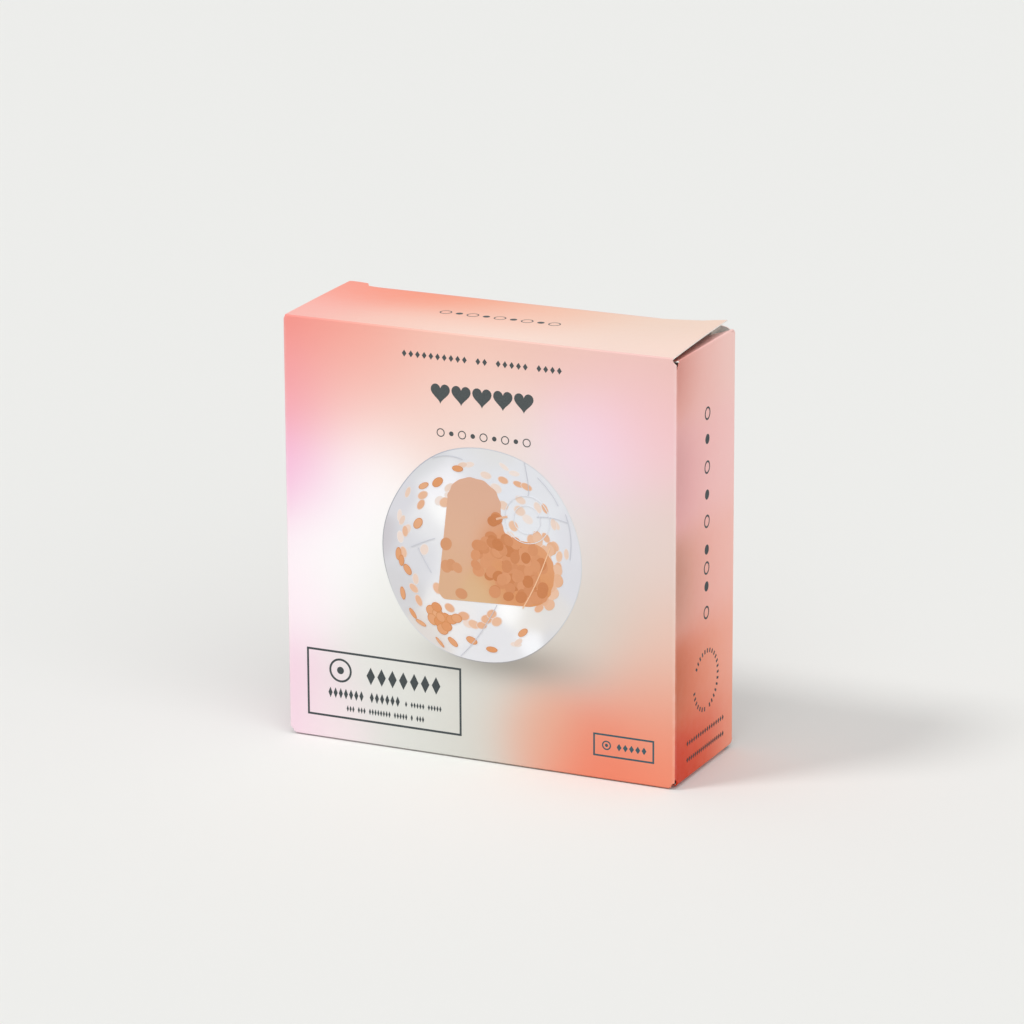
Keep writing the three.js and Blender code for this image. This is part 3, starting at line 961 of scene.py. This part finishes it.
def face_marks(prefix, wall):
    """The marks on the front, and again on the back."""
    place = on(wall)
    title = [heart_mark(-16.4 + 9.3 * i, 154.2, 8.6) for i in range(5)]
    ink(prefix + "_title_marks", title, place, "dark_ink")
    subtitle = bead_row(-34, 38, 169.5, 2.9, (10, 2, 5, 4))
    small_row = ring_and_dot_row([(-16.4 + 4.8 * i, 138) for i in range(9)], 1.8, 0.4)
    ink(prefix + "_small_marks", subtitle + small_row, place, "dark_ink")
    outer = box_outline(-79, 9.3, -8, 38.6)
    frame_line = (outer, box_outline(-78.1, 10.2, -8.9, 37.7))
    icon = [ring_mark(-63.5, 30.2, 5.2, 0.9, 32), circle(-63.5, 30.2, 1.6)]
    rows = bead_row(-52, -17, 29.5, 7.6, (7,))
    rows += bead_row(-69.5, -36, 20.2, 4.6, (7, 6))
    rows += bead_row(-34, -17, 19.6, 2.6, (1, 5, 5))
    rows += bead_row(-61, -25, 14.0, 2.8, (3, 3, 8, 5, 1, 3))
    ink(prefix + "_info_frame", [frame_line, *icon, *rows], place, "frame_ink")
    small = (box_outline(51.3, 9.6, 78.3, 19.4), box_outline(52.05, 10.35, 77.55, 18.65))
    inside = [ring_mark(57.2, 14.6, 2.0, 0.55), circle(57.2, 14.6, 0.7)]
    inside += bead_row(61.4, 75.2, 14.4, 3.2, (5,))
    ink(prefix + "_small_frame", [small, *inside], place, "teal_ink")


def side_marks(prefix, wall):
    heights = (149.9, 139.2, 127.4, 115.9, 104.6, 92.7, 84.9, 77.1, 66.0)
    marks = ring_and_dot_row([(1.4, v) for v in heights], 2.8, 0.8, 0.75)
    marks += tick_ring((1.5, 37.2), 11.4, 13.2)
    for height, count in ((15.6, 17), (8.6, 19)):
        marks += bead_row(-18.5, 20.5, height, 2.3, (count,))
    ink(prefix + "_marks", marks, on(wall), "side_ink")


def tick_ring(centre, inner, outer):
    """A ring of short bars with two gaps."""
    ticks = []
    for i in range(30):
        if i in (13, 14, 15, 23):
            continue
        turn = 2 * pi * i / 30
        across = Vector((cos(turn), sin(turn)))
        side = Vector((-across.y, across.x)) * 0.5
        corners = ((inner, -1), (outer, -1), (outer, 1), (inner, 1))
        ticks.append([tuple(Vector(centre) + across * out + side * way) for out, way in corners])
    return ticks


def lid_marks():
    marks = ring_and_dot_row([(-28.2 + 6.1 * i, 0.2) for i in range(9)], 2.6, 0.5, 1.5 / 2.6, 28)
    piece = ink("lid_marks", marks, on_lid, "dark_ink")
    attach(piece, "top_lid")


# --- the picture of the ball
BALL_AT = (1.5, 88.0)
BALL_RADIUS = 45.2
FLAKE = 0.112  # a flake's diameter, as a share of the ball's radius


def ball_share(u, v):
    return (u - BALL_AT[0]) / BALL_RADIUS, (v - BALL_AT[1]) / BALL_RADIUS


def on_picture(point):
    return BALL_AT[0] + point[0] * BALL_RADIUS, BALL_AT[1] + point[1] * BALL_RADIUS


def ball_outline(share=1.0, count=96):
    """The ball's outline, a little slack: wider along one diagonal and gently lobed."""
    points = []
    for i in range(count):
        turn = 2 * pi * i / count
        slack = 0.02 * cos(2 * (turn - radians(65))) + 0.006 * cos(6 * turn + 0.5)
        reach = share * (1 + slack)
        points.append((reach * cos(turn), reach * sin(turn)))
    return points


def line_mark(points, width):
    """A thin printed line through points, in shares of the ball's radius."""
    line = [Vector(p) for p in points]
    left, right = [], []
    for i, here in enumerate(line):
        ahead = line[min(i + 1, len(line) - 1)] - line[max(i - 1, 0)]
        side = Vector((-ahead.y, ahead.x)).normalized() * (width / 2)
        left.append(tuple(here + side))
        right.append(tuple(here - side))
    return left + right[::-1]


def curve_through(start, middle, end, count=14):
    """A smooth arc from start to end that passes near middle."""
    start, middle, end = Vector(start), Vector(middle), Vector(end)
    pull = middle * 2 - (start + end) / 2
    return [start * (1 - t) ** 2 + pull * 2 * t * (1 - t) + end * t * t for t in even(count)]


def flake_outline(point, size, chance, squeeze=None):
    """A round flake on the ball, foreshortened towards the rim."""
    out = Vector(point)
    apart = min(0.985, out.length)
    depth = max(0.22, sqrt(1 - apart * apart)) if squeeze is None else squeeze
    depth *= chance.uniform(0.82, 1.0)
    axis = atan2(out.y, out.x) + chance.uniform(-0.35, 0.35)
    points = []
    for i in range(20):
        turn = 2 * pi * i / 20
        local = Vector((depth * cos(turn), sin(turn))) * (size / 2)
        spun = Matrix.Rotation(axis, 2) @ local
        points.append((point[0] + spun.x, point[1] + spun.y))
    return points


# Flakes in the picture, listed as shares of the ball's radius.
NEAR_FLAKES = [
    (-0.57, 0.59), (-0.43, 0.64), (-0.63, 0.23), (-0.83, -0.08), (-0.80, -0.14), (-0.74, -0.22),
    (-0.79, -0.45), (-0.69, -0.63), (-0.61, -0.71), (-0.42, -0.87), (-0.29, -0.85), (-0.10, -0.81),
    (0.10, -0.87), (0.41, -0.67), (-0.23, 0.79),
]
HEAPED_FLAKES = [  # a small heap at the lower left
    (-0.50, -0.58), (-0.44, -0.60), (-0.49, -0.66), (-0.42, -0.68), (-0.36, -0.63), (-0.39, -0.74),
    (-0.35, -0.71), (-0.30, -0.64), (-0.25, -0.62), (-0.45, -0.54), (-0.41, -0.63),
]
MIDDLE_FLAKES = [
    (-0.60, 0.41), (-0.36, 0.46), (0.22, 0.735), (0.37, 0.715), (0.45, 0.70), (0.32, 0.32),
    (0.63, 0.52), (-0.18, -0.59), (-0.08, -0.655), (0.0, -0.655), (0.05, -0.59), (0.10, -0.535),
    (-0.63, -0.50), (-0.68, -0.39), (-0.78, -0.06), (0.64, 0.25), (0.73, 0.18), (0.77, 0.09),
    (0.76, -0.02), (0.72, -0.26), (0.66, -0.35), (0.57, -0.42), (-0.32, -0.53), (0.50, 0.21),
    (0.57, 0.19), (0.62, 0.13), (-0.44, -0.36), (-0.58, 0.50), (-0.76, 0.14), (0.15, -0.60),
]
FAR_FLAKES = [
    (-0.815, 0.28), (-0.79, 0.24), (-0.115, 0.84), (0.23, 0.86), (0.05, 0.76), (0.39, 0.57),
    (0.22, 0.50), (0.46, 0.40), (0.56, 0.52), (0.74, 0.38), (-0.31, 0.60), (-0.73, 0.51),
    (-0.74, 0.16), (-0.81, 0.08), (-0.57, -0.01), (-0.66, -0.30), (0.84, 0.12), (-0.18, 0.83),
    (0.15, 0.65), (0.33, 0.81), (-0.14, -0.66), (0.34, -0.79), (0.36, -0.77), (-0.44, -0.53),
]
HEART_FLAKES = [(-0.35, 0.07), (-0.35, -0.14), (-0.30, -0.12), (-0.24, -0.14), (-0.20, -0.38)]
CLUMP = [  # the heap of flakes in the heart: centre, spread and count of each part
    ((0.27, -0.03), (0.35, 0.21), 62),
    ((0.06, 0.10), (0.16, 0.11), 16),
    ((0.38, -0.26), (0.28, 0.13), 30),
    ((0.14, 0.36), (0.04, 0.03), 3),
]
FILM_TONE = "e9e9ec"


def scattered(chance, centre, spread, count):
    """Points in an oval cloud."""
    points = []
    for _ in range(count):
        reach, turn = sqrt(chance.random()), chance.uniform(0, 2 * pi)
        points.append(
            (centre[0] + spread[0] * reach * cos(turn),
             centre[1] + spread[1] * reach * sin(turn))
        )
    return points


def blend_tone(chance, light, dark):
    share = chance.random()
    return [a + (b - a) * share for a, b in zip(srgb(light), srgb(dark))]


def flakes_at(chance, points, light, dark, squeeze=None):
    """A flake at each point, as its outline and its tone."""
    return [
        (flake_outline(point, FLAKE * chance.uniform(0.95, 1.12), chance, squeeze),
         blend_tone(chance, light, dark))
        for point in points
    ]


def grown(outline, share):
    """The outline at another size about its own middle."""
    middle = [sum(p[k] for p in outline) / len(outline) for k in (0, 1)]
    return [tuple(middle[k] + (p[k] - middle[k]) * share for k in (0, 1)) for p in outline]


def two_toned(flakes, rim, share, size=0.87):
    """Each flake over a wider one, whose tone is that share of the way to the rim's."""
    layers = []
    for outline, tone in flakes:
        edge = [a + (b - a) * share for a, b in zip(tone, srgb(rim))]
        layers += [(outline, edge), (grown(outline, size), tone)]
    return layers


def heart_outline():
    """The heart lies on its side, its point at the lower left."""
    corners = [
        (-0.435, -0.455, 0.07), (0.68, -0.41, 0.26), (0.75, 0.17, 0.25),
        (0.21, 0.20, 0.16), (0.185, 0.72, 0.26), (-0.31, 0.72, 0.235),
    ]
    ripple = 0.006
    return [
        (x + ripple * sin(61 * y + 9 * x), y + ripple * sin(47 * x) * smooth(y))
        for x, y in rounded(corners, 16)
    ]


def ball_seams():
    """The ball's seams and creases, and the two rings of its valve, as thin lines."""
    seams = [
        curve_through((-0.48, 0.86), (-0.33, 0.90), (-0.18, 0.88)),
        curve_through((-0.70, 0.0), (-0.58, 0.06), (-0.46, 0.11)),
        curve_through((-0.63, 0.0), (-0.57, -0.11), (-0.50, -0.22)),
        curve_through((0.155, -0.44), (-0.02, -0.74), (-0.21, -0.97)),
        curve_through((0.43, 0.92), (0.47, 0.70), (0.46, 0.62)),
        curve_through((0.55, 0.43), (0.70, 0.44), (0.86, 0.41)),
        curve_through((0.83, 0.49), (0.88, 0.30), (0.875, 0.07)),
        curve_through((0.56, 0.80), (0.68, 0.68), (0.76, 0.56)),
    ]
    rings = [ring_mark(0.455, 0.395, radius, 0.006, 40) for radius in (0.135, 0.225)]
    lines = [(line_mark(seam, 0.0055), srgb("cccdd4")) for seam in seams]
    return lines + [(ring, srgb("e2e3e8")) for ring in rings]


def ball_glints():
    long_glint = line_mark(curve_through((0.68, 0.16), (0.55, -0.17), (0.41, -0.44)), 0.010)
    short_glint = line_mark(curve_through((0.15, 0.365), (0.21, 0.385), (0.26, 0.40)), 0.020)
    return [(long_glint, srgb("eec29c")), (short_glint, srgb("e2b698"))]


def to_face(outline):
    """An outline, or an (outside, hole) pair of them, from shares to millimetres."""
    if isinstance(outline[0][0], float):
        return [on_picture(point) for point in outline]
    return tuple([on_picture(point) for point in loop] for loop in outline)


def ball_picture(prefix, wall):
    chance = random.Random(7)

    def draw(name, marks, skin, layer):
        outlines = [to_face(outline) for outline, _ in marks]
        tones = [tone for _, tone in marks]
        lift = (1 + layer) * INK_LIFT
        ink(f"{prefix}_{name}", outlines, on(wall), skin, lift, tones, ball_share)

    white = srgb("ffffff")
    draw("ball_film", [(ball_outline(), white)], "ball", 0)
    draw("ball_rim", [((ball_outline(), ball_outline(0.991)), white)], "rim", 0.3)

    far_points = FAR_FLAKES + scattered(chance, (0.1, 0.1), (0.85, 0.8), 10)
    far = flakes_at(chance, far_points, "ece0da", "e6c8b4")
    middle = flakes_at(chance, MIDDLE_FLAKES, "e8c0a4", "e2ad8a")
    beside_points = scattered(chance, (0.57, -0.08), (0.21, 0.34), 40)
    beside = flakes_at(chance, beside_points, "e8c2a8", "e0aa84", 0.9)
    draw("far_flakes", two_toned(far + middle, FILM_TONE, 0.5) + beside, "flakes", 0.5)
    draw("heart", [(heart_outline(), white)], "heart", 4.0)

    clump = flakes_at(chance, HEART_FLAKES, "d69a72", "cf9066", 0.9)
    for part in CLUMP:
        clump += flakes_at(chance, scattered(chance, *part), "db9a70", "c67d4d", 0.95)
    draw("heart_clump", clump, "flakes", 4.1)

    near = flakes_at(chance, NEAR_FLAKES, "e2aa82", "dc9562")
    near += flakes_at(chance, HEAPED_FLAKES, "e2a87e", "da905c", 0.85)
    draw("near_flakes", two_toned(near, "cf8850", 0.8), "flakes", 6.6)
    draw("seams", ball_seams(), "flakes", 7.8)
    draw("glints", ball_glints(), "flakes", 8.0)


# --- the ball, folded flat in the carton
BALL_GORES = 6
BALL_DIAMETER = 350 * MM
FILM = 0.25 * MM
FILM_PITCH = 1.2 * MM
HEART_FILM = 0.3 * MM
CONFETTI_RADIUS = 9.7 * MM
CONFETTI_FILM = 0.1 * MM
CONFETTI_PITCH = 23 * MM
CONFETTI_OFFSET = 0.58 * MM  # from the heart, between two films
GORE_WIDTH = pi * BALL_DIAMETER / BALL_GORES
GORE_LENGTH = pi * BALL_DIAMETER / 2
POLE_HALF = 10 * MM  # half of a gore's width where it is welded to a pole's cap

gore_low, gore_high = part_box("ball_gore_1")
heart_low, heart_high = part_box("inner_heart")
cap_low, cap_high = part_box("front_pole_cap")
valve_low, valve_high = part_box("valve_body")
plug_low, plug_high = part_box("valve_plug")

PACK_HALF = gore_high.x
LEG_Y = (cap_low.y + cap_high.y) / 2  # the first of four legs, from -1.5 to 1.5 leg pitches
LEG_PITCH = -LEG_Y / 1.5
TURN_RADIUS = LEG_PITCH / 2
STACK_REACH = BALL_GORES / 2 * FILM_PITCH + FILM / 2
BOTTOM_TURN = gore_low.z + TURN_RADIUS + STACK_REACH
POLE_END = cap_low.z - 0.3 * MM
TOP_TURN = POLE_END - TURN_RADIUS - STACK_REACH - 1 * MM


def fold_path():
    """The stack's middle line, as (point, the way the films are spaced, distance, slack)."""
    stations, walked = [], 0.0

    def leg(y, start, end, side):
        nonlocal walked
        for t in even(26)[:-1]:
            z = start + (end - start) * t
            slack = smooth(8 * t) * smooth(8 - 8 * t)
            stations.append((Vector((0, y, z)), Y * side, walked + abs(z - start), slack))
        walked += abs(end - start)

    def turn(y, z, side):
        nonlocal walked
        for t in even(14)[:-1]:
            angle = pi * t
            out = Vector((0, -cos(angle), side * sin(angle)))
            point = Vector((0, y, z)) + out * TURN_RADIUS
            stations.append((point, out * side, walked + TURN_RADIUS * angle, 0.0))
        walked += pi * TURN_RADIUS

    leg(LEG_Y, POLE_END, BOTTOM_TURN, 1)
    turn(LEG_Y + TURN_RADIUS, BOTTOM_TURN, -1)
    leg(LEG_Y + LEG_PITCH, BOTTOM_TURN, TOP_TURN, -1)
    turn(0, TOP_TURN, 1)
    leg(LEG_Y + 2 * LEG_PITCH, TOP_TURN, BOTTOM_TURN, 1)
    turn(-LEG_Y - TURN_RADIUS, BOTTOM_TURN, -1)
    leg(-LEG_Y, BOTTOM_TURN, POLE_END, -1)
    stations.append((Vector((0, -LEG_Y, POLE_END)), -Y, walked, 0.0))
    return stations


FOLD_PATH = fold_path()


def crumple(x, walked, slack):
    """How far the pressed stack waves out of its flat place, the same for all its films."""
    broad = noise.noise(Vector((x * 28, walked * 22, 3.0)))
    place = Vector((x * 45, walked * 34, 8.0))
    sharp = noise.ridged_multi_fractal(place, 1.0, 2.0, 3, 1.0, 2.0) - 1.0
    return (1.1 * broad + 0.25 * sharp) * slack * 0.8 * MM


def on_stack(index, x, offset, seed):
    """A point of the film at that offset through the stack, and the way its skin faces."""
    point, facing, walked, slack = FOLD_PATH[index]
    own = noise.noise(Vector((x * 60, walked * 60, seed * 7.3))) * 0.14 * MM
    lean = Vector((x * 50, walked * 50, seed * 3.1))
    across = noise.noise(lean) * 0.8 * MM * min(1.0, abs(x) / PACK_HALF)
    moved = point + facing * (offset + own + crumple(x, walked, slack)) + X * (x + across)
    return moved, facing


def gore_half(walked):
    """Half of a gore's width at that distance from its first pole, its edges turned in."""
    flat = GORE_WIDTH / 2 * sin(pi * walked / GORE_LENGTH)
    return min(PACK_HALF, max(POLE_HALF, flat))


def gore_edges(walked):
    half = gore_half(walked)
    return -half, half


def vinyl_sheet(name, stations, edges, offset, seed, skin, thickness):
    """A film that follows the fold. edges gives its two edges at each distance walked."""
    return sheet(
        name, stations, lambda index: edges(FOLD_PATH[index][2]), even(26),
        lambda x, index: on_stack(index, x, offset + thickness / 2, seed),
        lambda x, index: (x / MM, FOLD_PATH[index][2] / MM), [skins[skin]] * 3, thickness,
    )


def make_gores():
    for i in range(BALL_GORES):
        step = i - BALL_GORES / 2 + (0 if i < BALL_GORES / 2 else 1)
        node = f"ball_gore_{i + 1}"
        gore = vinyl_sheet(
            node + "_film", range(len(FOLD_PATH)), gore_edges, step * FILM_PITCH, i, "clear", FILM
        )
        settle(gore, "folded_ball", node)


def heart_edges(share):
    """The heart, folded along its middle: one straight edge, and one that rounds to a lobe."""
    widest = 0.68
    if share < widest:
        reach = 1 - (1 - share / widest) ** 1.7
    else:
        reach = sqrt(max(0.0, 1 - ((share - widest) / (1 - widest)) ** 2))
    return heart_low.x, heart_low.x + (heart_high.x - heart_low.x) * max(0.04, reach)


def make_heart():
    foot = heart_low.z
    inside = [
        i for i, (point, _, _, _) in enumerate(FOLD_PATH)
        if abs(point.y) < LEG_PITCH * 0.6 and point.z > foot
    ]
    start, end = FOLD_PATH[inside[0]][2], FOLD_PATH[inside[-1]][2]
    heart = vinyl_sheet(
        "inner_heart_film", inside, lambda walked: heart_edges((walked - start) / (end - start)),
        0.0, 11, "peach", HEART_FILM,
    )
    settle(heart, "folded_ball", "inner_heart")


def make_confetti():
    """Loose flakes inside the ball, either side of the heart."""
    chance = random.Random(21)
    bm = bmesh.new()
    tone_layer = bm.verts.layers.float_color.new("tone")
    rows = [i for i, station in enumerate(FOLD_PATH) if station[3] > 0.5 and i % 7 == 0]
    for index in rows:
        limit = gore_half(FOLD_PATH[index][2]) - 2 * CONFETTI_RADIUS
        for column in range(-3, 4):
            x = column * CONFETTI_PITCH + chance.uniform(-1.5, 1.5) * MM
            side = chance.choice((-1, 1)) * CONFETTI_OFFSET
            tone = blend_tone(chance, "f0ad8c", "dd8a60")
            if abs(x) > limit:
                continue
            add_flake(bm, tone_layer, index, x, side, tone)
    settle(finish_mesh("loose_confetti", bm, [skins["confetti"]]), "folded_ball")


def add_flake(bm, tone_layer, index, x, offset, tone):
    """One flake, lying in the bent surface of the stack."""
    point, facing, walked, slack = FOLD_PATH[index]
    down = X.cross(facing)
    rings = []
    for height in (-CONFETTI_FILM / 2, CONFETTI_FILM / 2):
        ring = []
        for i in range(28):
            turn = 2 * pi * i / 28
            along = CONFETTI_RADIUS * sin(turn)
            across = x + CONFETTI_RADIUS * cos(turn)
            lift = crumple(x, walked, slack) + offset + height
            vert = bm.verts.new(point + down * along + X * across + facing * lift)
            vert[tone_layer] = (*tone, 1)
            ring.append(vert)
        rings.append(ring)
    bm.faces.new(rings[0][::-1])
    bm.faces.new(rings[1])
    bridge(bm, *rings, False)


def lathe(name, profile, base, body, node, ringed=False):
    """A turned piece from its profile, (radius, height) in millimetres above base."""
    sides = 56
    spokes = [2 * pi * i / sides for i in range(sides)]
    bm = bmesh.new()
    rings = [
        [bm.verts.new(base + Vector((radius * cos(t), radius * sin(t), height)) * MM)
         for t in (spokes if radius else [0.0])]
        for radius, height in profile
    ]
    for lower, upper in list(zip(rings, rings[1:])) + ([(rings[-1], rings[0])] if ringed else []):
        bridge(bm, lower, upper)
    piece = finish_mesh(name, bm, [skins["moulded"]])
    settle(piece, body, node)
    soften = piece.modifiers.new("soft_edges", "BEVEL")
    soften.width = 0.14 * MM
    soften.segments = 2
    soften.limit_method = "ANGLE"
    soften.angle_limit = radians(35)


def make_caps():
    """Welded discs that close the ball's two poles, with a ridge near the rim."""
    radius = (cap_high.x - cap_low.x) / 2 / MM
    thick = (cap_high.z - cap_low.z) / MM
    disc = thick * 0.6
    profile = [(0, 0), (radius, 0), (radius, disc), (radius - 1.2, disc), (radius - 1.6, thick)]
    profile += [(radius - 2.8, thick), (radius - 3.2, disc), (0, disc)]
    for node, y in (("front_pole_cap", LEG_Y), ("back_pole_cap", -LEG_Y)):
        base = Vector((0, y, cap_low.z))
        lathe(node + "_disc", profile, base, "folded_ball", node)


def make_valve():
    """The valve stands on the front pole's cap: flange, stem with a lip, plug and tether."""
    base = Vector((0, LEG_Y, valve_low.z))
    flange = (valve_high.x - valve_low.x) / 2 / MM
    top = (valve_high.z - valve_low.z) / MM
    bore, stem = 3.2, 5.0
    profile = [(bore, 0), (flange, 0), (flange, 0.5), (flange - 0.4, 0.8), (stem + 0.8, 0.8)]
    profile += [(stem, 1.6), (stem - 0.4, 3.0), (stem - 0.4, top - 1.6), (stem, top - 1.2)]
    profile += [(stem, top - 0.2), (stem - 0.3, top), (bore + 0.2, top), (bore, top - 0.2)]
    lathe("valve_stem", profile, base, "folded_ball", "valve_body", True)
    head = (plug_high.x - plug_low.x) / 2 / MM
    pin_foot = (plug_low.z - valve_low.z) / MM
    head_top = (plug_high.z - valve_low.z) / MM
    under = head_top - 1.2
    profile = [(0, pin_foot), (2.2, pin_foot), (2.8, pin_foot + 0.8), (2.8, pin_foot + 1.8)]
    profile += [(2.5, pin_foot + 2.2), (2.5, under), (head, under), (head, head_top)]
    profile += [(head - 1.2, head_top), (head - 1.7, head_top - 0.45), (0, head_top - 0.45)]
    lathe("valve_plug_stopper", profile, base, "valve_plug", "valve_plug")
    make_tether(base, flange, head, (under + head_top) / 2)


STRAP_SECTION = [  # its corners, in shares of half its width and half its thickness
    (1, 0.6), (0.8, 1), (-0.8, 1), (-1, 0.6), (-1, -0.6), (-0.8, -1), (0.8, -1), (1, -0.6),
]


def make_tether(base, flange, head, head_height):
    """A flat strap in a half circle, from the flange's rim to the rim of the plug's head."""
    low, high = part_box("valve_tether")
    half_width, half_thick = (high.y - low.y) / 2, 0.4 * MM
    foot = Vector((flange + 0.8, 0, 0.4)) * MM
    tip = Vector((head + 0.8, 0, head_height)) * MM
    centre, arm = (foot + tip) / 2, (foot - tip) / 2
    bm = bmesh.new()
    rings = []
    for t in even(32):
        spoke = Matrix.Rotation(-pi * t, 3, "Y") @ arm
        out = spoke.normalized()
        middle = base + centre + spoke
        rings.append([
            bm.verts.new(middle + Y * half_width * a + out * half_thick * b) for a, b in STRAP_SECTION
        ])
    for first, second in zip(rings, rings[1:]):
        bridge(bm, first, second)
    bm.faces.new(rings[0][::-1])
    bm.faces.new(rings[-1])
    strap = finish_mesh("valve_strap", bm, [skins["moulded"]])
    settle(strap, None, "valve_tether")
    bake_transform(strap)


def make_patch():
    """The repair patch: a square of film with round corners, a little curled."""
    middle = (patch_low + patch_high) / 2
    half = (patch_high.x - patch_low.x) / 2
    corner = 5 * MM

    def span(x):
        cut = rounding(half - abs(x), corner)
        return -half + cut, half - cut

    def place(z, x):
        curl = 0.35 * MM * (x / half) ** 2 - 0.1 * MM
        return Vector((middle.x + x, middle.y - curl, middle.z + z)), -Y

    patch = sheet(
        "repair_patch_film", graded(-half, half, corner, 12, 8), span, even(16), place,
        lambda z, x: (x / MM, z / MM), [skins["patch"]] * 3, FILM,
    )
    settle(patch, "folded_ball", "repair_patch")


make_camera()
make_stage()
make_lights()
make_walls()
make_closure("top", "lid_panel", "lid", False)
make_closure("bottom", "bottom_panel", "base", True)
for prefix, wall in (("front", FRONT), ("back", BACK)):
    face_marks(prefix, wall)
    ball_picture(prefix, wall)
for prefix, wall in (("right_side", RIGHT), ("left_side", LEFT)):
    side_marks(prefix, wall)
lid_marks()
make_gores()
make_heart()
make_confetti()
make_caps()
make_valve()
make_patch()
